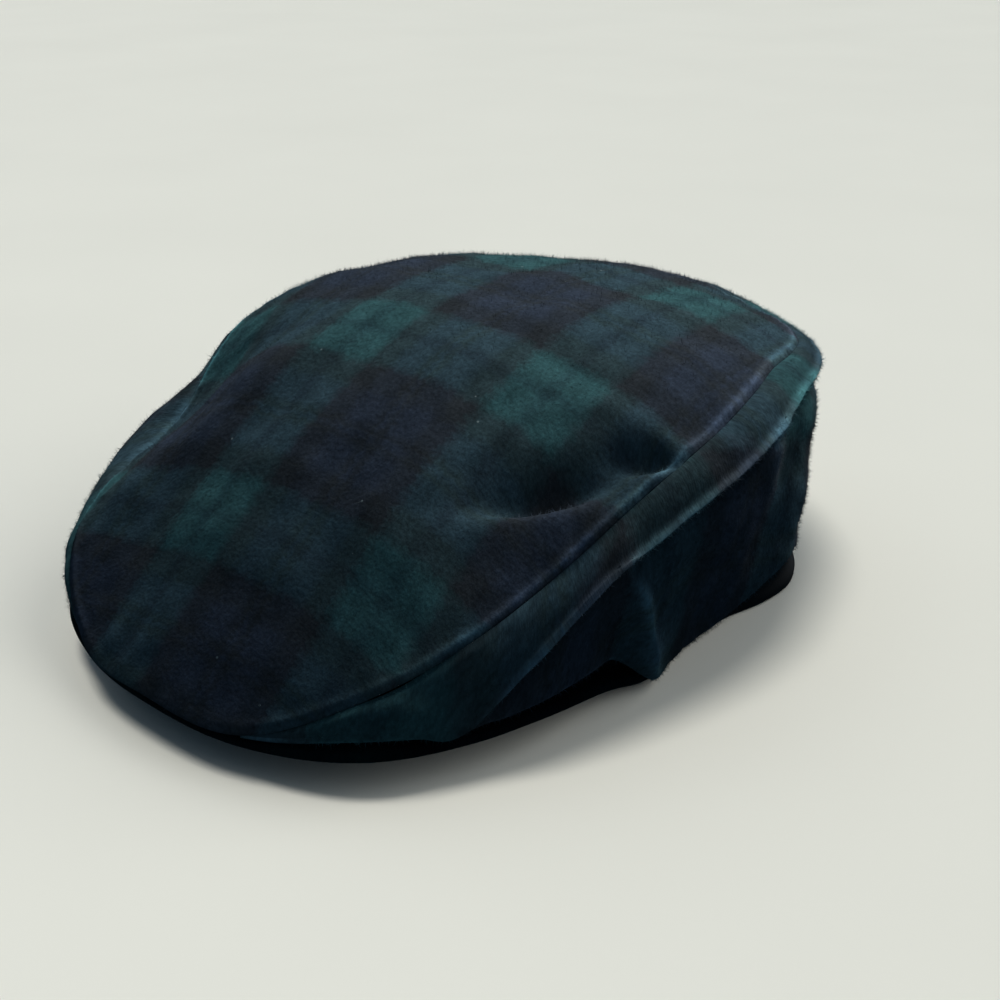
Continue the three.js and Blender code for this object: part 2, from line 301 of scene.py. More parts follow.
class CapForm:
    """The cap's main form: the sections round the crown, with its swells and folds."""

    crown = Sections(
        ("seam_r", "seam_z", "round", "fold_r", "fold_z", "hem_r", "hem_z"),
        (
            (0, 143.5, 15.7, 1, 143.8, 15.2, 144, 14.6),
            (15, 143.3, 15.6, 1, 143.6, 15, 143.8, 14.3),
            (30, 136.5, 30.3, 0.85, 139, 22, 137, 16.3),
            (42, 123, 42.2, 0.72, 129.1, 26.5, 125.5, 15.2),
            (50, 114, 50.2, 0.65, 122, 33, 117, 16.2),
            (60, 106.7, 60.7, 0.65, 114.3, 48, 107, 17.6),
            (66, 103.5, 66.5, 0.65, 110.5, 54, 101.5, 14.5),
            (75, 100.5, 73.5, 0.55, 107.5, 60.5, 93.5, 3),
            (90, 97.5, 81, 0.35, 105.5, 68, 86.5, 1.2),
            (104, 95.9, 84.6, 0.33, 104.6, 74.3, 88, 1.5),
            (115, 96.5, 85.7, 0.35, 105, 77.7, 95, 5),
            (126, 101.3, 84.5, 0.38, 108.6, 77.6, 106, 10.5),
            (140, 108.5, 81.7, 0.45, 114.5, 75.7, 110, 11),
            (160, 112, 79.2, 0.6, 120.5, 74.2, 111, 10),
            (180, 115, 81.6, 0.6, 125, 76.2, 108, 9.5),
        ),
    )
    swells = (
        Swell(clock=-36, spread=10, seam_out=2.2, seam_up=2.5, crease_out=1.5, crease_up=4.8),
        Swell(clock=-52, spread=9, seam_out=-3.4, seam_up=-4.3, crease_out=6.3, crease_up=8),
        Swell(clock=-48, spread=7, seam_out=0.5, seam_up=2.6, crease_out=0, crease_up=0),
        Swell(clock=-81, spread=14, seam_out=2.1, seam_up=2.3, crease_out=-6, crease_up=0.3),
        Swell(clock=40, spread=4.2, seam_out=0, seam_up=0, crease_out=-0.5, crease_up=-10.4),
        Swell(clock=53, spread=8, seam_out=0, seam_up=0, crease_out=0, crease_up=4),
        Swell(clock=84, spread=17, seam_out=0, seam_up=0, crease_out=0, crease_up=2.7),
    )
    top_folds = (
        TopFold(x=-64, y=-78, turn=125, long=34, wide=16, height=-6.2),
        TopFold(x=73, y=-55.7, turn=55, long=13, wide=3, height=-6.8),
        TopFold(x=69.8, y=-53.5, turn=55, long=14, wide=5.5, height=-2.6),
        TopFold(x=79, y=-61, turn=55, long=17, wide=4, height=1.8),
        TopFold(x=82.2, y=-42.2, turn=62, long=11, wide=4, height=-2.4),
        TopFold(x=93.6, y=-24.6, turn=38, long=10, wide=2.2, height=-6),
        TopFold(x=86, y=-22, turn=14, long=16, wide=4, height=2.2),
        TopFold(x=97, y=-6, turn=60, long=8, wide=4, height=-2),
    )
    wall_folds = (
        WallFold(crease=64, hem=75, spread=1.1, strongest=0.45, reach=0.35, height=2.6),
        WallFold(crease=63.5, hem=75.5, spread=3, strongest=1, reach=0.4, height=3.4),
        WallFold(crease=58, hem=68, spread=4, strongest=1, reach=0.35, height=-6),
        WallFold(crease=52, hem=60, spread=9, strongest=0.35, reach=0.25, height=-3.5),
        WallFold(crease=102, hem=118, spread=3.2, strongest=0.2, reach=0.25, height=1.8),
    )
    strip_bulge = 2.2  # how far the strip under the side seam swells
    strip_limit = 0.15  # the most that it swells, as a share of the strip's width
    wall_bulge = 1.5  # how far the wall below the crease swells
    wall_limit = 0.06  # the most that it swells, as a share of the wall's height
    fold_power = 24  # how late the top's folds die out on the way to the seam
    hollow_height = 20.0  # height of a point inside the crown
    cloth_reach = 160.0  # half-size of the table that lays the top panel flat
    cloth_step = 2.0  # spacing of that table
    arc_steps = 1441  # places round the cap where its arcs are worked out
    top_probe = 0.5  # how far the top's normals look to each side
    clock_probe = 0.7  # how far the side's normals look round the cap, in degrees
    run_probe = 0.06  # how far the side's normals look along the run

    def __init__(self) -> None:
        """Finds the crown's middle in the frame and lays the top panel's cloth flat."""
        low, high = (np.array(corner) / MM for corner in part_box("sweatband"))
        self.middle = np.array([(low[0] + high[0]) / 2, low[1] + BAND_FRONT, 0.0])
        self.hollow = (self.middle + np.array([0, 0, self.hollow_height])) * MM
        self.axis = np.arange(-self.cloth_reach, self.cloth_reach + 1, self.cloth_step)
        x, y = np.meshgrid(self.axis, self.axis)
        height = self.top_height(x, y, folded=False)
        along_x = np.hypot(np.diff(x, axis=1), np.diff(height, axis=1))
        along_y = np.hypot(np.diff(y, axis=0), np.diff(height, axis=0))
        self.flat_u = np.pad(np.cumsum(along_x, axis=1), ((0, 0), (1, 0)))
        self.flat_v = np.pad(np.cumsum(along_y, axis=0), ((1, 0), (0, 0)))
        clocks = np.linspace(-180, 180, self.arc_steps)
        section = self.crown_at(clocks)
        seam = polar(clocks, section["seam_r"], section["seam_z"])
        plan = polar(clocks, (section["seam_r"] + section["fold_r"]) / 2, np.zeros_like(clocks))
        self.clocks = clocks
        self.seam_arc = np.r_[0, np.cumsum(np.linalg.norm(np.diff(seam, axis=0), axis=1))]
        self.plan_arc = np.r_[0, np.cumsum(np.linalg.norm(np.diff(plan, axis=0), axis=1))]

    def crown_at(self, clock: Array) -> dict[str, Array]:
        """Reads the crown's sizes at clock angles, with its swells.

        Args:
            clock: clock angles, in degrees.

        Returns:
            The sizes by name, in millimetres.
        """
        section = self.crown.at(clock)
        for swell in self.swells:
            share = bell(clock - swell.clock, swell.spread)
            section["seam_r"] = section["seam_r"] + swell.seam_out * share
            section["seam_z"] = section["seam_z"] + swell.seam_up * share
            section["fold_r"] = section["fold_r"] + swell.crease_out * share
            section["fold_z"] = section["fold_z"] + swell.crease_up * share
        return section

    def top_height(self, x: Array, y: Array, folded: bool = True) -> Array:
        """Works out the height of the top panel's outer face.

        Args:
            x: places on the table, from the crown's middle.
            y: places on the table, from the crown's middle.
            folded: whether its dents and ridges are in it.

        Returns:
            The height over each place.
        """
        section = self.crown_at(np.degrees(np.arctan2(x, -y)))
        share = np.hypot(x, y) / section["seam_r"]
        fall = section["round"] * share**2 + (1 - section["round"]) * share**4
        height = CROWN_TOP - (CROWN_TOP - section["seam_z"]) * fall
        if not folded:
            return height
        total = np.zeros_like(height)
        for fold in self.top_folds:
            turn = math.radians(fold.turn)
            along = (x - fold.x) * math.cos(turn) + (y - fold.y) * math.sin(turn)
            across = (y - fold.y) * math.cos(turn) - (x - fold.x) * math.sin(turn)
            total += fold.height * bell(along, fold.long) * bell(across, fold.wide)
        return height + total * np.maximum(0, 1 - share**self.fold_power)

    def top_normal(self, x: Array, y: Array) -> Array:
        """Gives the outward normals of the top panel over places on the table.

        Args:
            x: places on the table, from the crown's middle.
            y: places on the table, from the crown's middle.

        Returns:
            A unit normal for each place.
        """
        step = self.top_probe
        slope_x = (self.top_height(x + step, y) - self.top_height(x - step, y)) / (2 * step)
        slope_y = (self.top_height(x, y + step) - self.top_height(x, y - step)) / (2 * step)
        return unit(np.stack([-slope_x, -slope_y, np.ones_like(slope_x)], axis=-1))

    def top_cloth(self, x: Array, y: Array) -> tuple[Array, Array]:
        """Lays points of the top panel flat on the cloth it is cut from.

        Args:
            x: places on the table, from the crown's middle.
            y: places on the table, from the crown's middle.

        Returns:
            The places along and across the cloth, in millimetres from the crown's middle.
        """
        zero = np.zeros_like(x)
        u = bilinear(self.flat_u, self.axis, x, y) - bilinear(self.flat_u, self.axis, zero, y)
        v = bilinear(self.flat_v, self.axis, x, y) - bilinear(self.flat_v, self.axis, x, zero)
        return u, v

    def side_point(self, clock: Array, run: Array) -> Array:
        """Gives points of the crown's side.

        Args:
            clock: clock angles, in degrees.
            run: 0 at the seam, 1 at the crease and 2 at the hem.

        Returns:
            The points, in millimetres.
        """
        section = self.crown_at(clock)
        strip = np.clip(run, 0, 1)
        fall_r = section["fold_r"] - section["seam_r"]
        fall_z = section["fold_z"] - section["seam_z"]
        length = np.hypot(fall_r, fall_z)
        swell = np.minimum(self.strip_bulge, self.strip_limit * length) * 4 * strip * (1 - strip) / length
        radius = section["seam_r"] + fall_r * strip - swell * fall_z
        height = section["seam_z"] + fall_z * strip + swell * fall_r
        down = np.clip(run - 1, 0, 1)
        drop = section["fold_z"] - section["hem_z"]
        sag = np.minimum(self.wall_bulge, self.wall_limit * drop) * 4 * down * (1 - down)
        radius = radius + (section["hem_r"] - section["fold_r"]) * down + sag
        for fold in self.wall_folds:
            radius = radius + np.where(run > 1, fold.height * fold.share(clock, down), 0)
        return polar(clock, radius, height - drop * down)

    def side_normal(self, clock: Array, run: Array) -> Array:
        """Gives the outward normals of the crown's side at clock angles and runs.

        Args:
            clock: clock angles, in degrees.
            run: 0 at the seam, 1 at the crease and 2 at the hem.

        Returns:
            A unit normal for each place.
        """
        ahead = self.side_point(clock + self.clock_probe, run)
        behind = self.side_point(clock - self.clock_probe, run)
        below = self.side_point(clock, np.minimum(2, run + self.run_probe))
        above = self.side_point(clock, np.maximum(0, run - self.run_probe))
        return unit(np.cross(below - above, ahead - behind))


def select_only(*pieces: Object) -> None:
    """Selects these objects alone and makes the first one active.

    Args:
        *pieces: the objects.
    """
    bpy.ops.object.select_all(action="DESELECT")
    for piece in pieces:
        piece.select_set(True)
    bpy.context.view_layer.objects.active = pieces[0]


def read_points(piece: Object) -> Array:
    """Gives a mesh's vertices as rows of x, y and z.

    Args:
        piece: an object with a mesh.

    Returns:
        A row for each vertex, in the mesh's own units.
    """
    points = np.empty(len(piece.data.vertices) * 3)
    piece.data.vertices.foreach_get("co", points)
    return points.reshape(-1, 3)


def flat_grid(name: str, columns: int, rows: int, fine: FaceChoice | None = None) -> Object:
    """Adds a flat square of cloth, divided evenly and finer where it is sewn.

    Args:
        name: the piece's name.
        columns: divisions along x.
        rows: divisions along y.
        fine: picks the faces to divide again, from their middles as shares of the square's two ways.

    Returns:
        The square, from 0 to 1 both ways.
    """
    bpy.ops.object.select_all(action="DESELECT")
    middle = (0.5, 0.5, 0)
    bpy.ops.mesh.primitive_grid_add(x_subdivisions=columns, y_subdivisions=rows, size=1, location=middle)
    piece = bpy.context.object
    piece.name = piece.data.name = name
    bpy.ops.object.transform_apply(location=True)
    if fine is not None:
        bpy.context.tool_settings.mesh_select_mode = (False, False, True)
        bpy.ops.object.mode_set(mode="EDIT")
        bpy.ops.mesh.select_all(action="DESELECT")
        bpy.ops.object.mode_set(mode="OBJECT")
        middles = np.empty(len(piece.data.polygons) * 3)
        piece.data.polygons.foreach_get("center", middles)
        piece.data.polygons.foreach_set("select", fine(middles.reshape(-1, 3)))
        bpy.ops.object.mode_set(mode="EDIT")
        bpy.ops.mesh.subdivide(number_cuts=2)
        bpy.ops.object.mode_set(mode="OBJECT")
    return piece


def form_cloth(piece: Object, points: Array, cloth: Array, middle: Array) -> None:
    """Moves a flat piece's vertices to their place on the cap and keeps where they lie on the cloth.

    Args:
        piece: the flat piece.
        points: a place for each vertex, in millimetres from the crown's middle.
        cloth: where each vertex lies on the flat cloth, in millimetres.
        middle: the crown's middle in the frame, in millimetres.
    """
    mesh = piece.data
    mesh.vertices.foreach_set("co", ((points + middle) * MM).ravel())
    corners = np.empty(len(mesh.loops), dtype=np.int32)
    mesh.loops.foreach_get("vertex_index", corners)
    layer = mesh.uv_layers[0] if mesh.uv_layers else mesh.uv_layers.new()
    layer.name = CLOTH_MAP
    mesh.uv_layers[CLOTH_MAP].data.foreach_set("uv", (cloth[corners] * MM).ravel())
    mesh.update()


def paint_highlight(piece: Object, share: Array) -> None:
    """Keeps how strong the painted highlight is at each vertex, from 0 to 1."""
    layer = piece.data.attributes.new(PAINTED_HIGHLIGHT, "FLOAT", "POINT")
    layer.data.foreach_set("value", np.asarray(share, float))


def close_up(piece: Object, inside: Array | None = None) -> None:
    """Merges the vertices that meet and turns the faces outwards.

    Args:
        piece: the formed piece.
        inside: a point behind a sheet, in metres, that its faces look away from. Without it the piece is a
            loop, whose open ends are filled.
    """
    select_only(piece)
    bpy.ops.object.mode_set(mode="EDIT")
    bpy.ops.mesh.select_all(action="SELECT")
    bpy.ops.mesh.remove_doubles(threshold=MEETING * MM)
    if inside is None:
        bpy.ops.mesh.fill_holes(sides=0)
        bpy.ops.mesh.select_all(action="SELECT")
        bpy.ops.mesh.normals_make_consistent(inside=False)
    bpy.ops.object.mode_set(mode="OBJECT")
    if inside is not None:
        count = len(piece.data.polygons)
        middles, normals, areas = np.empty(count * 3), np.empty(count * 3), np.empty(count)
        piece.data.polygons.foreach_get("center", middles)
        piece.data.polygons.foreach_get("normal", normals)
        piece.data.polygons.foreach_get("area", areas)
        looks = (normals.reshape(-1, 3) * (middles.reshape(-1, 3) - inside)).sum(axis=1)
        if (looks * areas).sum() < 0:
            bpy.ops.object.mode_set(mode="EDIT")
            bpy.ops.mesh.select_all(action="SELECT")
            bpy.ops.mesh.flip_normals()
            bpy.ops.object.mode_set(mode="OBJECT")
    bpy.ops.object.shade_smooth()


def thicken(piece: Object, thickness: float) -> None:
    """Gives a sheet its thickness, behind its outer face.

    Args:
        piece: the sheet.
        thickness: the cloth's thickness, in millimetres.
    """
    select_only(piece)
    wall = piece.modifiers.new("cloth", "SOLIDIFY")
    wall.thickness = thickness * MM
    wall.offset = -1
    bpy.ops.object.modifier_apply(modifier=wall.name)


def surface_normals(place: Surface, a: Array, b: Array, step: Pair) -> Array:
    """Works out normals of a surface from its own places.

    Args:
        place: gives the surface's points from its two parameters.
        a: first parameters.
        b: second parameters.
        step: how far to look along each parameter.

    Returns:
        A unit normal for each pair of parameters.
    """
    along = place(a + step[0], b) - place(a - step[0], b)
    across = place(a, b + step[1]) - place(a, b - step[1])
    return unit(np.cross(along, across))


@dataclass(frozen=True)
class Nap:
    """The short fibres that stand out of brushed wool."""

    count: int  # how many fibres
    short: float = 0.4  # shortest fibre, in millimetres
    long: float = 2.3  # longest fibre, in millimetres
    crowding: float = 1.7  # power that makes short fibres more common than long ones
    width: float = 0.16  # width of a fibre at its root
    upright: Pair = (0.15, 1.1)  # least and most weight of the cloth's normal in a fibre's lean
    stray: float = 0.8  # weight of chance in a fibre's lean
    lowest: float = 0.1  # lean that counts as lying flat
    raised: float = 0.25  # lean that a flat fibre is raised to
    sunk: float = 0.15  # how far the root is sunk in the cloth
    seed: int = 1  # picks where they stand and lean

    def grow(
        self, name: str, roots: Array, normals: Array, cloth: Array, brushed: Array, middle: Array
    ) -> Object:
        """Makes the fibres as slim closed spikes in one mesh.

        Args:
            name: the piece's name.
            roots: where the fibres stand, in millimetres from the crown's middle.
            normals: the cloth's outward normals there.
            cloth: where the roots lie on the flat cloth, in millimetres.
            brushed: how strong the painted highlight is there, from 0 to 1.
            middle: the crown's middle in the frame, in millimetres.

        Returns:
            The fibres.
        """
        rng = np.random.default_rng(self.seed)
        count = len(roots)
        wander = unit(rng.normal(size=(count, 3)))
        lean = unit(normals * rng.uniform(*self.upright, (count, 1)) + wander * self.stray)
        rise = (lean * normals).sum(axis=1, keepdims=True)
        lean = np.where(rise < self.lowest, unit(lean + normals * (self.raised - rise)), lean)
        length = self.short + (self.long - self.short) * rng.uniform(0, 1, (count, 1)) ** self.crowding
        side = unit(np.cross(lean, wander + 0.01))
        other = np.cross(lean, side)
        base = roots - normals * self.sunk
        points = []
        for turn in (0, math.tau / 3, 2 * math.tau / 3):
            points.append(base + self.width / 2 * (side * math.cos(turn) + other * math.sin(turn)))
        points.append(roots + lean * length)
        points = np.stack(points, axis=1).reshape(-1, 3)
        # No fibre reaches into the table.
        points[:, 2] = np.maximum(points[:, 2], 0)
        first = np.arange(count)[:, None, None] * 4
        faces = (first + np.array([[0, 1, 3], [1, 2, 3], [2, 0, 3], [2, 1, 0]])).reshape(-1, 3)
        mesh = bpy.data.meshes.new(name)
        mesh.from_pydata(points, [], faces)
        piece = bpy.data.objects.new(name, mesh)
        bpy.context.collection.objects.link(piece)
        form_cloth(piece, points, np.repeat(cloth, 4, axis=0), middle)
        paint_highlight(piece, np.repeat(brushed, 4))
        # A fibre is too fine to shade its neighbours, and takes the light as the cloth under it does.
        mesh.shade_smooth()
        mesh.normals_split_custom_set_from_vertices(np.repeat(normals, 4, axis=0).tolist())
        piece.visible_shadow = False
        return piece


def linear(colour: str) -> tuple[float, float, float, float]:
    """Turns an sRGB hex colour into linear light."""
    parts = [int(colour[i : i + 2], 16) / 255 for i in (1, 3, 5)]
    return (*[p / 12.92 if p <= 0.04045 else ((p + 0.055) / 1.055) ** 2.4 for p in parts], 1.0)


def add(tree: NodeTree, kind: str, inputs: dict | None = None, **settings: object) -> Node:
    """Adds a node with its settings, values and links.

    Args:
        tree: the node tree.
        kind: the node's type.
        inputs: a value, or a socket to link from, for each input by name or number.
        **settings: properties of the node.

    Returns:
        The node.
    """
    node = tree.nodes.new(kind)
    for name, value in settings.items():
        setattr(node, name, value)
    for name, value in (inputs or {}).items():
        if isinstance(value, NodeSocket):
            tree.links.new(value, node.inputs[name])
        else:
            node.inputs[name].default_value = value
    return node


def new_material(name: str) -> tuple[Material, NodeTree]:
    """Makes an empty node material and gives it with its tree.

    Args:
        name: the material's name.

    Returns:
        The material and its node tree.
    """
    material = bpy.data.materials.new(name)
    material.use_nodes = True
    material.node_tree.nodes.clear()
    return material, material.node_tree


def per_metre(size: float) -> float:
    """Gives the scale of a pattern whose cells measure a size in millimetres."""
    return 1 / (size * MM)


@dataclass(frozen=True)
class TartanWool:
    """Brushed wool tartan: dyed yarns whose raised nap softens the stripes and shines when seen edge-on."""

    name: str = "brushed wool tartan"  # the material's name
    green: str = "#304c4d"  # colour of the green yarn
    navy: str = "#2c333d"  # colour of the navy yarn
    black: str = "#282c2f"  # colour of the black yarn
    guard: str = "#273d40"  # colour of the thin black line in the green, veiled by the nap
    # Threads of each colour in turn, from the middle of one green band to the middle of the next.
    sett: tuple[tuple[str, float], ...] = (
        ("guard", 3), ("green", 24), ("black", 20), ("navy", 22), ("black", 4), ("navy", 4),
        ("black", 4), ("navy", 22), ("black", 20), ("green", 24), ("guard", 3),
    )
    repeat: Pair = (74.4, 90.5)  # length of the sett along and across the cloth, in millimetres
    soft_edge: float = 2.2  # half-width of the blur between two stripes, in millimetres
    edge_limit: float = 0.45  # the most of a stripe that one blur may take
    drag: float = 7.0  # how far the nap drags the stripes' edges about, from side to side, in millimetres
    drag_size: float = 3.0  # size of the patches that are dragged together, in millimetres
    streak: Pair = (0.5, 1.8)  # width and length of the brushed fibres, in millimetres
    streak_turn: float = 25.0  # heading of the fibres on the cloth, in degrees
    grain: float = 1.5  # size of the felted grains, in millimetres
    clump: float = 7.0  # size of the clumps of nap, in millimetres
    # How far fibres, grains and clumps change the yarn's brightness.
    mottle: tuple[float, float, float] = (0.2, 0.3, 0.2)
    raised: float = 2.6  # how much paler the painted highlight along folded edges and seams makes the colour
    fleck: str = "#8d9692"  # colour of the flecks of undyed fibre
    fleck_spacing: float = 7.0  # spacing of the places where a fleck may be, in millimetres
    fleck_size: float = 0.06  # reach of a fleck, as a share of that spacing
    fleck_kept: float = 0.12  # share of those places that have a fleck
    fleck_strength: float = 0.4  # how far a fleck hides the yarn
    lift: float = 1.5  # brightness of the yarns under the nap, 1 as dyed
    sheen: float = 0.35  # weight of the nap's sheen
    sheen_lift: float = 3.0  # brightness of the nap's tips against the yarns
    relief: float = 0.5  # height of the fibres, in millimetres

    def stripes(self, tree: NodeTree, place: NodeSocket, repeat: float) -> NodeSocket:
        """Colours the cloth in stripes along one way.

        Args:
            tree: the node tree.
            place: places on the cloth, in metres.
            repeat: length of the sett that way, in millimetres.

        Returns:
            The yarn's colour.
        """
        turns = add(tree, "ShaderNodeMath", {0: place, 1: per_metre(repeat)}, operation="MULTIPLY")
        share = add(tree, "ShaderNodeMath", {0: turns.outputs[0]}, operation="FRACT")
        bands = add(tree, "ShaderNodeValToRGB", {0: share.outputs[0]})
        stops = bands.color_ramp.elements
        threads = sum(count for _, count in self.sett)
        soft = self.soft_edge / repeat
        begin = 0.0
        stops.remove(stops[1])
        for i, (yarn, count) in enumerate(self.sett):
            end = begin + count / threads
            blur = min(soft, (end - begin) * self.edge_limit)
            for position in (begin + blur * (i > 0), end - blur * (i < len(self.sett) - 1)):
                stop = stops[0] if position == 0 else stops.new(position)
                stop.position = position
                stop.color = linear(getattr(self, yarn))
            begin = end
        return bands.outputs[0]

    def make(self) -> Material:
        """Makes the material.

        Returns:
            The material, which reads the cloth map.
        """
        material, tree = new_material(self.name)
        cloth = add(tree, "ShaderNodeUVMap", uv_map=CLOTH_MAP).outputs[0]
        # The nap drags the stripes' edges about by a millimetre or two.
        patches = {"Vector": cloth, "Scale": per_metre(self.drag_size), "Detail": 4.0}
        drag = add(tree, "ShaderNodeTexNoise", patches).outputs["Color"]
        centred = add(tree, "ShaderNodeVectorMath", {0: drag, 1: (0.5, 0.5, 0.5)}, operation="SUBTRACT")
        pull = {0: centred.outputs[0], "Scale": self.drag * MM}
        nudge = add(tree, "ShaderNodeVectorMath", pull, operation="SCALE")
        moved = add(tree, "ShaderNodeVectorMath", {0: cloth, 1: nudge.outputs[0]}, operation="ADD")
        ways = add(tree, "ShaderNodeSeparateXYZ", {0: moved.outputs[0]})
        warp, weft = (self.stripes(tree, ways.outputs[i], self.repeat[i]) for i in (0, 1))
        # Fulled cloth: where two colours cross, the darker yarn hides some of the paler.
        yarns = {MIX_SHARE: 1.0, MIX_FIRST: warp, MIX_SECOND: weft}
        crossed = add(tree, "ShaderNodeMix", yarns, data_type="RGBA", blend_type="MULTIPLY")
        woven = add(tree, "ShaderNodeGamma", {0: crossed.outputs[MIXED], 1: 0.5})
        # Brushed fibres in streaks, over felted grains and clumps of nap.
        combing = {
            0: cloth,
            "Rotation": (0, 0, math.radians(self.streak_turn)),
            "Scale": (per_metre(self.streak[0]), per_metre(self.streak[1]), 1),
        }
        combed = add(tree, "ShaderNodeMapping", combing).outputs[0]
        textures = (
            {"Vector": combed, "Scale": 1.0, "Detail": 4.0, "Roughness": 0.6},
            {"Vector": cloth, "Scale": per_metre(self.grain), "Detail": 3.0},
            {"Vector": cloth, "Scale": per_metre(self.clump), "Detail": 2.0},
        )
        noises = [add(tree, "ShaderNodeTexNoise", texture).outputs[0] for texture in textures]
        # Painted highlight: along folded edges, seams and the hem the colour is made paler, as where they
        # catch the light.
        brushed = add(tree, "ShaderNodeAttribute", attribute_name=PAINTED_HIGHLIGHT).outputs["Fac"]
        tone = add(tree, "ShaderNodeMath", {0: brushed, 1: self.raised, 2: 1.0}, operation="MULTIPLY_ADD")
        for noise, change in zip(noises, self.mottle):
            limits = {"From Min": 0.25, "From Max": 0.75, "To Min": 1 - change, "To Max": 1 + change}
            part = add(tree, "ShaderNodeMapRange", {"Value": noise, **limits}).outputs[0]
            tone = add(tree, "ShaderNodeMath", {0: tone.outputs[0], 1: part}, operation="MULTIPLY")
        shade = {0: woven.outputs[0], "Scale": tone.outputs[0]}
        toned = add(tree, "ShaderNodeVectorMath", shade, operation="SCALE").outputs[0]
        # Pale flecks of undyed fibre, a few to each hand's breadth.
        cells = add(tree, "ShaderNodeTexVoronoi", {"Vector": cloth, "Scale": per_metre(self.fleck_spacing)})
        chance = add(tree, "ShaderNodeSeparateColor", {0: cells.outputs["Color"]}).outputs[0]
        fleck = self.fleck_strength
        for value, limit in ((cells.outputs["Distance"], self.fleck_size), (chance, self.fleck_kept)):
            within = add(tree, "ShaderNodeMath", {0: value, 1: limit}, operation="LESS_THAN").outputs[0]
            fleck = add(tree, "ShaderNodeMath", {0: fleck, 1: within}, operation="MULTIPLY").outputs[0]
        lint = {MIX_SHARE: fleck, MIX_FIRST: toned, MIX_SECOND: linear(self.fleck)}
        colour = add(tree, "ShaderNodeMix", lint, data_type="RGBA").outputs[MIXED]
        under = add(tree, "ShaderNodeVectorMath", {0: colour, "Scale": self.lift}, operation="SCALE")
        tips = add(tree, "ShaderNodeVectorMath", {0: colour, "Scale": self.sheen_lift}, operation="SCALE")
        height = add(tree, "ShaderNodeMath", {0: noises[0], 1: noises[1]}, operation="ADD").outputs[0]
        rough = {"Height": height, "Strength": 0.4, "Distance": self.relief * MM}
        finish = {
            "Base Color": under.outputs[0],
            "Roughness": 0.95,
            "Specular IOR Level": 0.1,
            "Sheen Weight": self.sheen,
            "Sheen Roughness": 0.5,
            "Sheen Tint": tips.outputs[0],
            "Normal": add(tree, "ShaderNodeBump", rough).outputs[0],
        }
        shader = add(tree, "ShaderNodeBsdfPrincipled", finish)
        add(tree, "ShaderNodeOutputMaterial", {0: shader.outputs[0]})
        return material


@dataclass(frozen=True)
class BlackCotton:
    """Black cotton twill tape: smooth and close woven, so that it takes a soft dull shine along its roll."""

    name: str = "black cotton twill"  # the material's name
    yarn: str = "#07090b"  # colour of the yarn
    dusty: str = "#0f1214"  # colour of the yarn where dust clings to it
    dust: float = 3.0  # size of the dusty patches, in millimetres
    # Spacing of its ribs, in millimetres, drawn at about twice the real one so that they show.
    rib: float = 0.8
    relief: float = 0.1  # height of the ribs, in millimetres

    def make(self) -> Material:
        """Makes the material.

        Returns:
            The material, which reads the cloth map.
        """
        material, tree = new_material(self.name)
        cloth = add(tree, "ShaderNodeUVMap", uv_map=CLOTH_MAP).outputs[0]
        ways = add(tree, "ShaderNodeSeparateXYZ", {0: cloth})
        slant = add(tree, "ShaderNodeMath", {0: ways.outputs[0], 1: ways.outputs[1]}, operation="ADD")
        turns = {0: slant.outputs[0], 1: math.tau * per_metre(self.rib)}
        phase = add(tree, "ShaderNodeMath", turns, operation="MULTIPLY")
        ribs = add(tree, "ShaderNodeMath", {0: phase.outputs[0]}, operation="SINE")
        patches = {"Vector": cloth, "Scale": per_metre(self.dust), "Detail": 5.0}
        dust = add(tree, "ShaderNodeTexNoise", patches).outputs[0]
        clinging = {"Value": dust, "From Min": 0.35, "From Max": 0.75, "To Min": 0.0, "To Max": 0.35}
        worn = add(tree, "ShaderNodeMapRange", clinging).outputs[0]
        shades = {MIX_SHARE: worn, MIX_FIRST: linear(self.yarn), MIX_SECOND: linear(self.dusty)}
        dull = {"Value": dust, "To Min": 0.6, "To Max": 0.85}
        twill = {"Height": ribs.outputs[0], "Strength": 0.3, "Distance": self.relief * MM}
        finish = {
            "Base Color": add(tree, "ShaderNodeMix", shades, data_type="RGBA").outputs[MIXED],
            "Roughness": add(tree, "ShaderNodeMapRange", dull).outputs[0],
            "Specular IOR Level": 0.25,
            "Normal": add(tree, "ShaderNodeBump", twill).outputs[0],
        }
        shader = add(tree, "ShaderNodeBsdfPrincipled", finish)
        add(tree, "ShaderNodeOutputMaterial", {0: shader.outputs[0]})
        return material


@dataclass(frozen=True)
class PaleTable:
    """Matt white laminate, with the faintest unevenness."""

    name: str = "matt white laminate"  # the material's name
    colour: str = "#e3e6e1"  # its colour
    dull: str = "#dee1dc"  # its colour where it is dullest
    cloud: float = 160.0  # size of the duller patches, in millimetres

    def make(self) -> Material:
        """Makes the material.

        Returns:
            The material, which reads no map.
        """
        material, tree = new_material(self.name)
        place = add(tree, "ShaderNodeTexCoord").outputs["Object"]
        patches = {"Vector": place, "Scale": per_metre(self.cloud), "Detail": 2.0}
        cloud = add(tree, "ShaderNodeTexNoise", patches).outputs[0]
        shades = {MIX_SHARE: cloud, MIX_FIRST: linear(self.colour), MIX_SECOND: linear(self.dull)}
        tint = add(tree, "ShaderNodeMix", shades, data_type="RGBA").outputs[MIXED]
        finish = {"Base Color": tint, "Roughness": 0.6, "Specular IOR Level": 0.2}
        shader = add(tree, "ShaderNodeBsdfPrincipled", finish)
        add(tree, "ShaderNodeOutputMaterial", {0: shader.outputs[0]})
        return material


def dress(piece: Object, material: Material) -> None:
    """Gives a piece its material and the body that it moves with.

    Args:
        piece: the finished piece.
        material: its material.
    """
    piece.data.materials.clear()
    piece.data.materials.append(material)
    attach(piece, BODY)
    LOG.info("%s: %d faces", piece.name, len(piece.data.polygons))


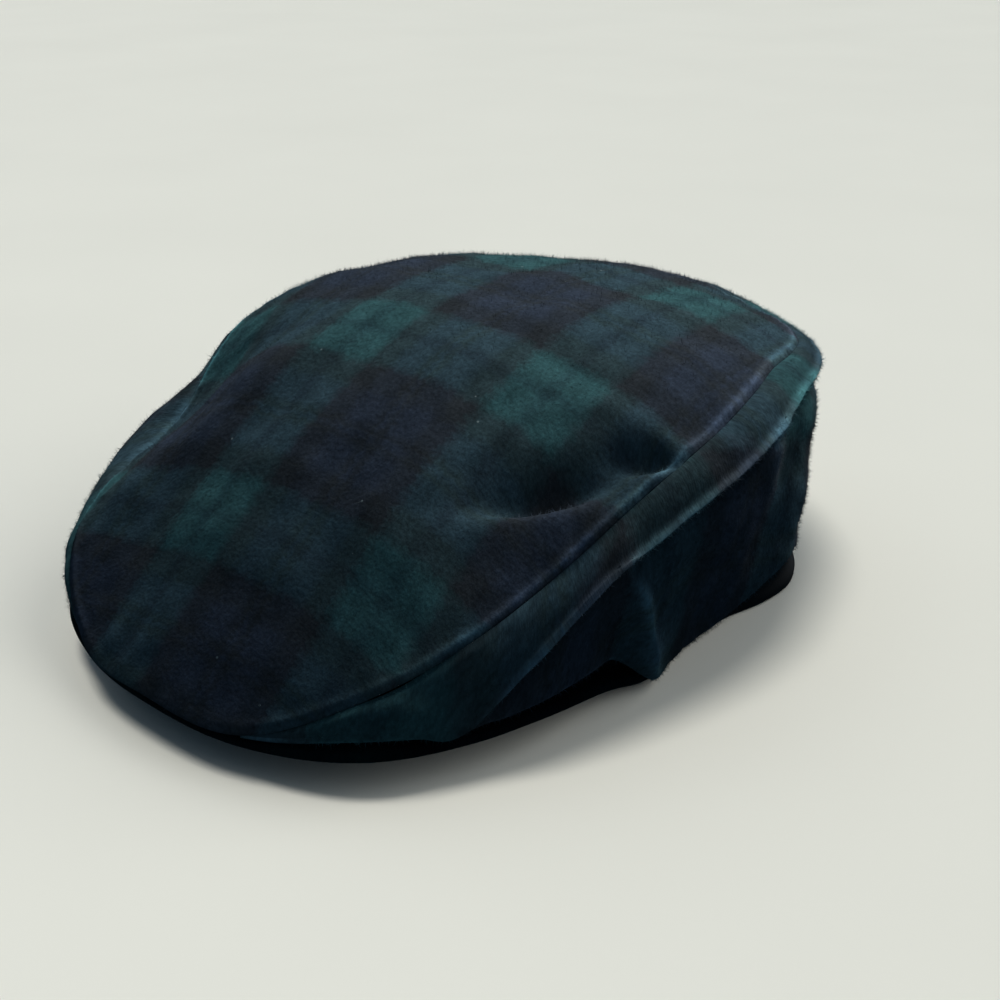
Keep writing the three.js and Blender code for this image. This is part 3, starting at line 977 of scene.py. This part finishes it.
@dataclass(kw_only=True)
class WoolPanel(ABC):
    """A sewn panel of tartan wool with its nap, laid out by clock angles and by a run across it."""

    form: CapForm  # the cap's form
    nap: Nap  # the fibres on it
    nap_probe: Pair  # how far their normals look along the clock angle and the run

    @abstractmethod
    def place(self, clock: Array, run: Array) -> Array:
        """Gives points of the panel's outer face, in millimetres."""

    @abstractmethod
    def cloth(self, clock: Array, run: Array) -> Array:
        """Gives where points lie on the tartan, in millimetres from a green crossing."""

    @abstractmethod
    def brushed(self, clock: Array, run: Array) -> Array:
        """Gives how strong the painted highlight along folds and seams is, from 0 to 1."""

    def sew(self, piece: Object, clock: Array, run: Array, wool: Material) -> None:
        """Forms a flat grid into the panel, with its thickness and its cloth.

        Args:
            piece: the flat grid.
            clock: a clock angle for each vertex, in degrees.
            run: a run for each vertex.
            wool: the cloth's material.
        """
        form_cloth(piece, self.place(clock, run), self.cloth(clock, run), self.form.middle)
        paint_highlight(piece, self.brushed(clock, run))
        close_up(piece, inside=self.form.hollow)
        thicken(piece, WOOL)
        dress(piece, wool)

    def raise_nap(self, name: str, clock: Array, run: Array, outward: Array, highlit_fuzz: Material) -> Object:
        """Grows the panel's nap at places on it.

        Args:
            name: the nap's name.
            clock: a clock angle for each fibre, in degrees.
            run: a run for each fibre.
            outward: about where the panel's outer face looks there.
            highlit_fuzz: the nap's material.

        Returns:
            The nap.
        """
        normals = surface_normals(self.place, clock, run, self.nap_probe)
        normals = normals * np.sign((normals * outward).sum(axis=1, keepdims=True))
        roots, brushed = self.place(clock, run), self.brushed(clock, run)
        piece = self.nap.grow(name, roots, normals, self.cloth(clock, run), brushed, self.form.middle)
        dress(piece, highlit_fuzz)
        return piece


@dataclass(kw_only=True)
class TopPanel(WoolPanel):
    """The one-piece tartan top, from the back over the crown to the peak's front edge.

    Its run is 0 at the crown's middle and 1 at the seam.
    """

    columns: int = 360  # divisions round the panel
    rows: int = 50  # divisions from its middle to its seam
    fine_rows: int = 6  # how many of the outer rows are divided again for the stitches
    crowding: float = 0.45  # how far the rows crowd towards the seam, from 0 to 1
    # Place of a green crossing along and across the cloth, from the crown's middle.
    green: Pair = (-19.7, -36.9)
    skew: Pair = (0.128, -0.035)  # how far each way of the cloth leans as it runs along the other
    # How far each way bends with the square of the distance towards the front and the back.
    bow: Pair = (0.00069, -0.00085)
    groove: SeamGroove = SeamGroove()  # the sewn seam round it
    front_groove: float = 0.35  # share of the groove's depth along the front edge
    sewn_from: Pair = (8.0, 20.0)  # clock angles between which the full seam comes in
    welt: EdgeLine = EdgeLine(height=0.5, away=2.6, reach=1.2)  # the soft welt along its seam
    # The painted highlight along the welt, where its ridge catches the light.
    welt_highlight: EdgeLine = EdgeLine(height=0.6, away=2.4, reach=0.9)
    welt_highlight_from: Pair = (24.0, 44.0)  # clock angles between which that line comes in
    drape: Ripples = Ripples(seed=3, short=22, long=60, height=0.4)  # its broad unevenness
    drape_rise: float = 30.0  # distance from the seam at which that has come in
    rumple: Ripples = Ripples(seed=4, short=7, long=16, height=0.1)  # its small unevenness
    rumple_rise: float = 6.0  # distance from the seam at which that has come in
    nap: Nap = Nap(count=48000, seed=21)
    nap_places: int = 121  # picks where the fibres stand
    nap_reach: float = 150.0  # distance from the crown's middle that all of them stand within
    nap_edge: float = 0.998  # square of the run at which the outermost ones stand
    nap_probe: Pair = (0.3, 0.002)

    def clock_run(self, a: Array, b: Array) -> tuple[Array, Array]:
        """Gives the clock angle and the run, from shares of the flat square."""
        run = (1 - self.crowding) * b + self.crowding * np.sin(b * math.pi / 2)
        return 360 * a - 180, run

    def place(self, clock: Array, run: Array) -> Array:
        """Gives points of the panel's outer face.

        Args:
            clock: clock angles, in degrees.
            run: 0 at the crown's middle and 1 at the seam.

        Returns:
            The points, in millimetres.
        """
        form = self.form
        flat = polar(clock, form.crown_at(clock)["seam_r"] * run, np.zeros_like(run))
        x, y = flat[:, 0], flat[:, 1]
        flat[:, 2] = form.top_height(x, y)
        away = self.from_seam(clock, run)
        arc = np.interp(clock, form.clocks, form.seam_arc)
        u, v = form.top_cloth(x, y)
        sewn = ramp(*self.sewn_from, np.abs(clock))
        lift = self.drape.at(u, v) * ramp(0, self.drape_rise, away)
        lift = lift + self.rumple.at(u, v) * ramp(0, self.rumple_rise, away)
        lift = lift + self.groove.lift(arc, away) * (self.front_groove + (1 - self.front_groove) * sewn)
        lift = lift + self.welt.at(away) * sewn
        return flat + form.top_normal(x, y) * lift[:, None]

    def cloth(self, clock: Array, run: Array) -> Array:
        """Gives where points lie on the tartan, in millimetres from a green crossing.

        Args:
            clock: clock angles, in degrees.
            run: 0 at the crown's middle and 1 at the seam.

        Returns:
            The places along and across the cloth.
        """
        flat = polar(clock, self.form.crown_at(clock)["seam_r"] * run, np.zeros_like(run))
        u, v = self.form.top_cloth(flat[:, 0], flat[:, 1])
        along = u + self.skew[0] * v + self.bow[0] * v**2 - self.green[0]
        across = v + self.skew[1] * u + self.bow[1] * v**2 - self.green[1]
        return np.stack([along, across], axis=-1)

    def from_seam(self, clock: Array, run: Array) -> Array:
        """Gives the way down the cloth to the seam, in millimetres.

        Args:
            clock: clock angles, in degrees.
            run: 0 at the crown's middle and 1 at the seam.

        Returns:
            The distance at each place.
        """
        section = self.form.crown_at(clock)
        drop = CROWN_TOP - section["seam_z"]
        slope = drop * (2 * section["round"] + 4 * (1 - section["round"])) / section["seam_r"]
        return np.maximum(0, 1 - run) * section["seam_r"] * np.hypot(1, slope)

    def brushed(self, clock: Array, run: Array) -> Array:
        """Gives the painted highlight along the seam's welt, from 0 to 1."""
        return self.welt_highlight.at(self.from_seam(clock, run)) * ramp(*self.welt_highlight_from, np.abs(clock))

    def build(self, wool: Material, highlit_fuzz: Material) -> None:
        """Builds the panel and its nap.

        Args:
            wool: the cloth's material.
            highlit_fuzz: the nap's material.
        """
        edge = 1 - self.fine_rows / self.rows
        piece = flat_grid(
            "top_panel_cloth", self.columns, self.rows, fine=lambda middles: middles[:, 1] > edge
        )
        square = read_points(piece)
        self.sew(piece, *self.clock_run(square[:, 0], square[:, 1]), wool)
        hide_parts("top_panel")
        nap = self.grow_nap(highlit_fuzz)

    def grow_nap(self, highlit_fuzz: Material) -> Object:
        """Grows the panel's nap.

        Args:
            highlit_fuzz: the nap's material.

        Returns:
            The nap.
        """
        rng = np.random.default_rng(self.nap_places)
        clock = rng.uniform(-180, 180, self.nap.count * 3)
        radius = self.form.crown_at(clock)["seam_r"]
        clock = clock[rng.uniform(0, self.nap_reach**2, len(clock)) < radius**2][: self.nap.count]
        run = np.sqrt(rng.uniform(0, self.nap_edge, len(clock)))
        return self.raise_nap("top_panel_nap", clock, run, np.array([[0, 0, 1.0]]), highlit_fuzz)


@dataclass(kw_only=True)
class SidePanel(WoolPanel):
    """A tartan side panel: the strip under the seam, the crease and the wall down to the hem.

    Its run is 0 at the seam, 1 at the crease and 2 at the hem.
    """

    side: Side  # the wearer's side that it is on
    start: float = 15.0  # clock angle where it begins beside the front edge
    columns: int = 380  # divisions along the panel
    rows: int = 64  # divisions from its seam to its hem
    # Shares of the rows at which the runs below are reached.
    row_shares: tuple[float, ...] = (0, 0.14, 0.3, 0.4, 0.48, 0.58, 0.92, 1)
    # Runs at those shares, close together round the crease.
    row_runs: tuple[float, ...] = (0, 0.14, 0.88, 1, 1.04, 1.14, 1.93, 2)
    green_arc: float = 92.0  # place of a green band along the panel, from the front of the cap
    green_drop: float = 8.0  # place of a green band down the panel, from the seam
    stretch: Pair = (0.94, 0.7)  # shares of the ways along and down that the flat cloth takes
    # How far the bands are drawn forward at the front, by the way along the panel.
    lead: EdgeLine = EdgeLine(height=17, away=55, reach=35)
    # How far the curved panel leaves the straight bands, by the way along the panel.
    sag: EdgeLine = EdgeLine(height=24, away=171, reach=38)
    full_width: Pair = (2.0, 14.0)  # widths of strip and wall between which the panel gets its relief
    tuck: float = 1.4  # how far the narrow front end is tucked in
    join: float = 1.6  # how far below the seam the panel runs up to meet the top panel's edge
    join_from: Pair = (34.0, 48.0)  # clock angles between which it does so
    groove: SeamGroove = SeamGroove()  # the sewn seams along its edges
    seam_groove: float = 0.3  # share of the groove that this side of the top seam takes
    # How much deeper the seam is drawn in beside the front.
    front_groove: EdgeLine = EdgeLine(height=0.8, away=0, reach=1.2)
    front_until: Pair = (38.0, 52.0)  # clock angles between which that dies out
    ridge: EdgeLine = EdgeLine(height=1.8, away=0, reach=0.9)  # how far the crease stands out
    # How far the wall is drawn in just below the crease.
    undercut: EdgeLine = EdgeLine(height=2.4, away=4.5, reach=2.4)
    hem_roll: EdgeLine = EdgeLine(height=1.2, away=0, reach=1)  # how far the hem turns in at its edge
    hem_lip: EdgeLine = EdgeLine(height=0.4, away=3, reach=1.6)  # the soft rise above that edge
    drape: Ripples = Ripples(seed=5, short=24, long=60, height=0.5)  # its broad unevenness
    drape_rise: Pair = (16.0, 10.0)  # distances from the crease and the hem at which that has come in
    rumple: Ripples = Ripples(seed=6, short=7, long=16, height=0.1)  # its small unevenness
    rumple_rise: float = 4.0  # distance from the hem at which that has come in
    back_calm: float = 0.4  # how much weaker the painted highlight along the crease is at the back
    back_from: Pair = (98.0, 118.0)  # clock angles between which it gets less
    # The painted highlight under the right seam, where the strip's edge catches the light.
    strip_highlight: EdgeLine = EdgeLine(height=0.45, away=0.7, reach=0.9)
    strip_from: Pair = (34.0, 44.0)  # clock angles between which that line comes in
    strip_until: Pair = (80.0, 62.0)  # clock angles between which it dies out, the farther one first
    # The painted highlight along the hem's edge.
    hem_highlight: EdgeLine = EdgeLine(height=0.4, away=1.2, reach=0.8)
    fold_highlight: float = 0.6  # how strong the painted highlight on a fold is
    fold_power: int = 3  # how narrow that is, against the fold
    nap: Nap = Nap(count=36000, seed=22)
    nap_span: Pair = (21.0, 179.8)  # clock angles between which the fibres stand
    nap_width: float = 90.0  # width of strip and wall that no part of the panel reaches
    nap_way: Pair = (0.02, 0.99)  # shares of the way down between which they stand
    nap_crease: float = 0.12  # share of them that stands along the crease
    nap_spread: float = 0.7  # how far those stray from it
    nap_probe: Pair = (0.3, 0.01)
    nap_up: float = 0.3  # how far up the panel's outer face looks on the whole

    @property
    def node(self) -> str:
        """Name of the solid that the panel stands for."""
        return f"side_panel_{self.side.name.lower()}"

    @property
    def sharpens(self) -> Pair:
        """Clock angles between which the crease sharpens: late on the right, where the strip is puffed."""
        return (40.0, 50.0) if self.side is Side.LEFT else (75.0, 95.0)

    def clock_run(self, a: Array, b: Array) -> tuple[Array, Array]:
        """Gives the clock angle and the run, from shares of the flat square."""
        clock = self.start + (180 - self.start) * a
        return self.side.value * clock, np.interp(b, self.row_shares, self.row_runs)

    def widths(self, clock: Array) -> tuple[Array, Array]:
        """Gives the width of the strip and of the wall at clock angles, in millimetres.

        Args:
            clock: clock angles, in degrees.

        Returns:
            The strip's widths and the wall's widths.
        """
        section = self.form.crown_at(clock)
        strip = np.hypot(section["fold_r"] - section["seam_r"], section["fold_z"] - section["seam_z"])
        wall = np.hypot(section["hem_r"] - section["fold_r"], section["hem_z"] - section["fold_z"])
        return strip, wall

    def from_crease(self, clock: Array, run: Array) -> Array:
        """Gives the way up or down the cloth to the crease, in millimetres."""
        strip, wall = self.widths(clock)
        return np.where(run < 1, (1 - run) * strip, (run - 1) * wall)

    def place(self, clock: Array, run: Array) -> Array:
        """Gives points of the panel's outer face.

        Args:
            clock: clock angles, in degrees.
            run: 0 at the seam, 1 at the crease and 2 at the hem.

        Returns:
            The points, in millimetres.
        """
        form = self.form
        turned = np.clip(clock * self.side.value, self.start, 180)
        clock = turned * self.side.value
        run = np.clip(run, 0, 2)
        strip, wall = self.widths(clock)
        base = form.side_point(clock, run)
        from_seam = run * strip
        from_crease = self.from_crease(clock, run)
        from_hem = np.maximum(2 - run, 0) * wall + np.where(run < 1, wall, 0)
        from_back = (180 - turned) * math.pi / 180 * np.linalg.norm(base[:, :2], axis=1)
        arc = np.interp(clock, form.clocks, form.seam_arc)
        u, v = self.unroll(clock, run)
        full = ramp(*self.full_width, strip + wall)
        sharp = ramp(*self.sharpens, turned)
        lift = self.drape.at(u, v) * ramp(0, self.drape_rise[0], from_crease)
        lift = lift * ramp(0, self.drape_rise[1], from_hem)
        lift = lift + self.rumple.at(u, v) * ramp(0, self.rumple_rise, from_hem)
        lift = lift + self.seam_groove * self.groove.lift(arc, from_seam)
        lift = lift - self.front_groove.at(from_seam) * (1 - ramp(*self.front_until, turned))
        lift = lift + self.ridge.at(from_crease) * sharp
        lift = lift - np.where(run > 1, self.undercut.at(from_crease) * sharp, 0)
        lift = lift - self.hem_roll.at(from_hem) + self.hem_lip.at(from_hem)
        lift = lift + self.groove.lift(v, from_back)
        points = base + form.side_normal(clock, run) * (lift * full)[:, None]
        points = points - polar(clock, self.tuck * (1 - full), np.zeros_like(full))
        joined = full * np.clip(1 - from_seam / self.join, 0, 1) * ramp(*self.join_from, turned)
        points = points + (TopPanel(form=form).place(clock, np.ones_like(clock)) - points) * joined[:, None]
        # The two sides meet at the back seam, and neither passes it.
        points[:, 0] = self.side.value * np.maximum(self.side.value * points[:, 0], 0)
        return points

    def unroll(self, clock: Array, run: Array) -> tuple[Array, Array]:
        """Lays points of the panel flat: the way along it, and the way down its face from the seam.

        Args:
            clock: clock angles, in degrees.
            run: 0 at the seam, 1 at the crease and 2 at the hem.

        Returns:
            The places along and down the panel, in millimetres.
        """
        strip, wall = self.widths(clock)
        front = np.interp(0, self.form.clocks, self.form.plan_arc)
        along = np.abs(np.interp(clock, self.form.clocks, self.form.plan_arc) - front)
        return along, np.where(run < 1, run * strip, strip + (run - 1) * wall)

    def cloth(self, clock: Array, run: Array) -> Array:
        """Gives where points lie on the tartan, in millimetres from a green crossing.

        Args:
            clock: clock angles, in degrees.
            run: 0 at the seam, 1 at the crease and 2 at the hem.

        Returns:
            The places along and across the cloth.
        """
        along, down = self.unroll(clock, run)
        u = (along - self.green_arc) * self.stretch[0] + self.lead.at(along)
        v = (down - self.green_drop) * self.stretch[1] + self.sag.at(along)
        return np.stack([u, v], axis=-1)

    def brushed(self, clock: Array, run: Array) -> Array:
        """Gives the painted highlight along the crease, the hem and the folds, from 0 to 1.

        Args:
            clock: clock angles, in degrees.
            run: 0 at the seam, 1 at the crease and 2 at the hem.

        Returns:
            The share at each place.
        """
        strip, wall = self.widths(clock)
        turned = np.abs(clock)
        share = bell(self.from_crease(clock, run), self.ridge.reach) * ramp(*self.sharpens, turned)
        share = share * (1 - self.back_calm * ramp(*self.back_from, turned))
        if self.side is Side.RIGHT:
            lasts = ramp(*self.strip_from, turned) * ramp(*self.strip_until, turned)
            share = share + self.strip_highlight.at(run * strip) * lasts
        share = share + self.hem_highlight.at((2 - run) * wall) * (run > 1)
        for fold in self.form.wall_folds:
            if fold.height > 0:
                strength = np.where(run > 1, fold.share(clock, run - 1), 0)
                share = share + self.fold_highlight * strength**self.fold_power
        return np.minimum(share, 1)

    def build(self, wool: Material, highlit_fuzz: Material) -> None:
        """Builds the panel and its nap.

        Args:
            wool: the cloth's material.
            highlit_fuzz: the nap's material.
        """
        piece = flat_grid(f"{self.node}_cloth", self.columns, self.rows)
        square = read_points(piece)
        self.sew(piece, *self.clock_run(square[:, 0], square[:, 1]), wool)
        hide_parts(self.node)
        nap = self.grow_nap(highlit_fuzz)

    def grow_nap(self, highlit_fuzz: Material) -> Object:
        """Grows the panel's nap.

        Args:
            highlit_fuzz: the nap's material.

        Returns:
            The nap.
        """
        rng = np.random.default_rng(self.nap.seed + self.side.value)
        clock = self.side.value * rng.uniform(*self.nap_span, self.nap.count * 4)
        strip, wall = self.widths(clock)
        kept = rng.uniform(0, self.nap_width, len(clock)) < strip + wall
        clock, strip, wall = (values[kept][: self.nap.count] for values in (clock, strip, wall))
        way = rng.uniform(*self.nap_way, len(clock)) * (strip + wall)
        edge = (rng.uniform(0, 1, len(clock)) < self.nap_crease) & (np.abs(clock) > self.sharpens[0])
        way = np.where(edge, strip + rng.normal(0, self.nap_spread, len(clock)), way)
        run = np.where(way < strip, way / strip, 1 + (way - strip) / wall)
        outward = polar(clock, np.ones_like(clock), np.full_like(clock, self.nap_up))
        return self.raise_nap(f"{self.node}_nap", clock, run, outward, highlit_fuzz)


@dataclass
class Peak:
    """The stiff peak: a crescent board with a round edge, covered in the wool."""

    form: CapForm  # the cap's form
    board: float = 3.4  # thickness of the covered board
    end: float = 78.0  # clock angle of its ends
    green: Pair = (-17.0, -38.0)  # place of a green crossing on its cover, from the crown's middle
    columns: int = 200  # divisions along the peak
    rows: int = 56  # divisions round its section
    sections: Sections = Sections(  # reach and height of its outer and inner edges
        ("outer_r", "outer_z", "inner_r", "inner_z"),
        (
            (0, 141.2, 13.2, 84.5, 25),
            (15, 142, 13.3, 85.2, 24),
            (30, 140.2, 15.4, 86.7, 20.5),
            (42, 126.5, 14.6, 87.7, 16.5),
            (50, 117.5, 14.7, 88.2, 14.6),
            (60, 104.5, 11.6, 88.7, 11),
            (66, 98.4, 9, 88.8, 8.2),
            (72, 95.2, 6.3, 88.9, 6),
            (78, 91.6, 4, 88.2, 4),
        ),
    )
    # Shares of the rows at which the legs of its section begin and end.
    loop_shares: tuple[float, ...] = (0, 0.36, 0.5, 0.86, 1)

    def place(self, clock: Array, way: Array) -> Array:
        """Gives points of the peak's cover.

        Args:
            clock: clock angles, in degrees.
            way: share of the way round its section: out along the top, round the edge, back and round again.

        Returns:
            The points, in millimetres.
        """
        section = self.sections.at(clock)
        half = self.board / 2
        _, out, turn = round_loop(way, self.loop_shares)
        width = section["outer_r"] - section["inner_r"] - self.board
        radius = section["inner_r"] + half + width * out + half * np.sin(turn)
        slope = section["inner_z"] + (section["outer_z"] - section["inner_z"]) * out
        return polar(clock, radius, slope - half + half * np.cos(turn))

    def build(self, wool: Material) -> None:
        """Builds the covered peak.

        Args:
            wool: the cover's material, a darker copy of the tartan that paints the shade under the crown's
                edge.
        """
        piece = flat_grid("peak_cover", self.columns, self.rows)
        square = read_points(piece)
        points = self.place(self.end * (2 * square[:, 0] - 1), square[:, 1])
        form_cloth(piece, points, points[:, :2] - np.array(self.green), self.form.middle)
        close_up(piece)
        dress(piece, wool)
        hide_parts("peak")


@dataclass
class Sweatband:
    """The folded black band inside the hem, with a soft roll along its lower edge."""

    form: CapForm  # the cap's form
    height: float = 28.0  # depth of the band
    wall: float = 1.5  # thickness of the folded cloth
    roll: float = 1.5  # radius of the roll along its lower edge
    roll_height: float = 9.0  # height at which the roll has died out
    # How far the band bulges out under the raised hem at the back, by the height.
    flare: EdgeLine = EdgeLine(height=3.4, away=3, reach=3.6)
    flare_from: Pair = (108.0, 118.0)  # clock angles between which the bulge comes in
    girth: float = 95.0  # radius at which the way round the band is measured
    sag: Ripples = Ripples(seed=8, short=25, long=70, height=0.35)  # its unevenness
    columns: int = 288  # divisions round the band
    rows: int = 48  # divisions round its section
    sections: Sections = Sections(  # reach of its outer face and height of its lower edge
        ("outer_r", "low_z"),
        (
            (0, 84, 19.5),
            (30, 86, 15.5),
            (50, 87.5, 8.5),
            (66, 88, 1),
            (75, 87, 0),
            (90, 83.8, 0),
            (104, 85.3, 0),
            (115, 92.3, 0),
            (126, 103, 0),
            (140, 107.2, 0),
            (160, 108.3, 0),
            (180, 105.4, 0),
        ),
    )
    # Shares of the rows at which the legs of its section begin and end.
    loop_shares: tuple[float, ...] = (0, 0.4, 0.52, 0.92, 1)

    def place(self, clock: Array, way: Array) -> Array:
        """Gives points of the band.

        Args:
            clock: clock angles, in degrees.
            way: share of the way round its section: down the outer face, round the roll, up and over.

        Returns:
            The points, in millimetres.
        """
        section = self.sections.at(clock)
        low = np.maximum(0, section["low_z"])
        leg, down, turn = round_loop(way, self.loop_shares)
        thin = self.wall / 2
        up = self.roll + (self.height - self.roll - thin) * (1 - down)
        half = thin + (self.roll - thin) * (1 - ramp(self.roll, self.roll_height, up))
        rounding = np.where(leg > 3, half, np.where((leg > 1) & (leg < 2), self.roll, 0))
        height = low + up - rounding * np.sin(turn)
        along = np.radians(clock) * self.girth
        middle = section["outer_r"] - thin + self.sag.at(along, np.zeros_like(along))
        middle = middle + self.flare.at(height) * ramp(*self.flare_from, np.abs(clock))
        return polar(clock, middle + half * np.cos(turn), height)

    def build(self, cotton: Material) -> None:
        """Builds the band.

        Args:
            cotton: its material.
        """
        piece = flat_grid("sweatband_tape", self.columns, self.rows)
        square = read_points(piece)
        clock = 360 * square[:, 0] - 180
        points = self.place(clock, square[:, 1])
        cloth = np.stack([np.radians(clock) * self.girth, square[:, 1] * 2 * self.height], axis=-1)
        form_cloth(piece, points, cloth, self.form.middle)
        close_up(piece)
        dress(piece, cotton)
        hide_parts("sweatband")


@dataclass(frozen=True)
class SoftLight:
    """A broad soft light, even over the whole table."""

    name: str  # the light's name
    way: tuple[float, float, float]  # the way from the cap to the light
    spread: float  # how wide the light looks from the table, in degrees
    strength: float  # its strength, in watts on each square metre
    lit: Lit = Lit.TABLE  # what the light falls on
    tint: str = "#fff7ed"  # its colour

    def hang(self, floor: Object) -> None:
        """Adds the light to the scene.

        Args:
            floor: the table's top.
        """
        lamp = bpy.data.lights.new(self.name, "SUN")
        lamp.angle = math.radians(self.spread)
        lamp.energy = self.strength
        lamp.color = linear(self.tint)[:3]
        if self.lit is Lit.TABLE:
            lamp.cycles.max_bounces = 0
            lamp.cycles.use_multiple_importance_sampling = False
        holder = bpy.data.objects.new(self.name, lamp)
        holder.rotation_euler = (-Vector(self.way)).to_track_quat("-Z", "Y").to_euler()
        bpy.context.collection.objects.link(holder)
        links = bpy.data.collections.new(self.name)
        links.objects.link(floor)
        links.collection_objects[0].light_linking.link_state = self.lit.value
        holder.light_linking.receiver_collection = links


@dataclass
class Studio:
    """The table, the soft lights and the camera at the photograph's angle."""

    form: CapForm  # the cap's form
    azimuth: float = 42.76  # the camera's way round the cap from its front, in degrees
    elevation: float = 24.31  # the camera's height above the table, in degrees
    roll: float = -0.65  # turn of the picture, in degrees
    distance: float = 514.5  # from the aim to the camera, in millimetres
    # Where the camera looks, from the crown's middle, in millimetres.
    aim: tuple[float, float, float] = (7.62, 0.0, 30.26)
    focal: float = 1500.0  # focal length in pixels of the picture
    picture: float = 1000.0  # side of the picture, in pixels
    sensor: float = 36.0  # width of the camera's sensor, in millimetres
    gamma: float = 0.87  # how far the picture's middle tones are lowered
    floor_side: float = 12.0  # side of the table's top, in metres
    sky: str = "#b4dcfc"  # colour of the light from all round
    sky_strength: float = 0.2  # strength of that light
    lights: tuple[SoftLight, ...] = (  # the soft lights
        SoftLight("window", (-0.067, 0.639, 0.766), spread=32, strength=3.4, lit=Lit.CAP, tint="#ffffff"),
        SoftLight("lamp over the table", (-0.06, -0.12, 1), spread=19, strength=1.72),
        SoftLight("side window", (0.8, 0.6, 0.6), spread=70, strength=1.7),
        SoftLight("far window", (-0.6, 0.2, 0.8), spread=80, strength=0.5),
    )

    def build(self) -> None:
        """Sets the table, the lights, the camera and the picture's tones."""
        bpy.ops.object.select_all(action="DESELECT")
        bpy.ops.mesh.primitive_plane_add(size=self.floor_side)
        floor = bpy.context.object
        floor.name = "table_top"
        floor.data.materials.append(PaleTable().make())
        for light in self.lights:
            light.hang(floor)
        scene = bpy.context.scene
        scene.world = bpy.data.worlds.new("pale room")
        scene.world.use_nodes = True
        background = scene.world.node_tree.nodes["Background"]
        background.inputs["Color"].default_value = linear(self.sky)
        background.inputs["Strength"].default_value = self.sky_strength
        scene.view_settings.view_transform = "Standard"
        scene.view_settings.gamma = self.gamma
        self.camera()

    def camera(self) -> None:
        """Places the camera and makes it the scene's."""
        a, e, g = (math.radians(angle) for angle in (self.azimuth, self.elevation, self.roll))
        back = Vector((math.sin(a) * math.cos(e), -math.cos(a) * math.cos(e), math.sin(e)))
        level = Vector((math.cos(a), math.sin(a), 0))
        up = back.cross(level)
        right = level * math.cos(g) + up * math.sin(g)
        upright = up * math.cos(g) - level * math.sin(g)
        lens = bpy.data.cameras.new("camera")
        lens.sensor_width = self.sensor
        lens.lens = self.focal / self.picture * self.sensor
        holder = bpy.data.objects.new("camera", lens)
        place = Vector((np.array(self.aim) + self.form.middle) * MM) + back * self.distance * MM
        holder.matrix_world = Matrix.Translation(place) @ Matrix((right, upright, back)).transposed().to_4x4()
        bpy.context.collection.objects.link(holder)
        bpy.context.scene.camera = holder


def main() -> None:
    """Builds the studio and the cap, piece by piece."""
    logging.basicConfig(level=logging.INFO, format="%(name)s: %(message)s")
    form = CapForm()
    Studio(form).build()
    wool = TartanWool().make()
    # The nap's fibres take the tartan paler than the cloth: a painted highlight for the light that loose
    # fibres catch.
    highlit_fuzz = TartanWool(name="highlit brushed wool nap", lift=1.8, sheen=0.2).make()
    # The peak's cover is the tartan made far darker: painted shade for the shadow under the crown's
    # overhanging edge.
    painted_shade_wool = TartanWool(name="dark brushed wool", lift=0.15, sheen=0.02).make()
    TopPanel(form=form).build(wool, highlit_fuzz)
    for side in Side:
        SidePanel(form=form, side=side).build(wool, highlit_fuzz)
    Peak(form).build(painted_shade_wool)
    Sweatband(form).build(BlackCotton().make())


if __name__ == "__main__":
    main()
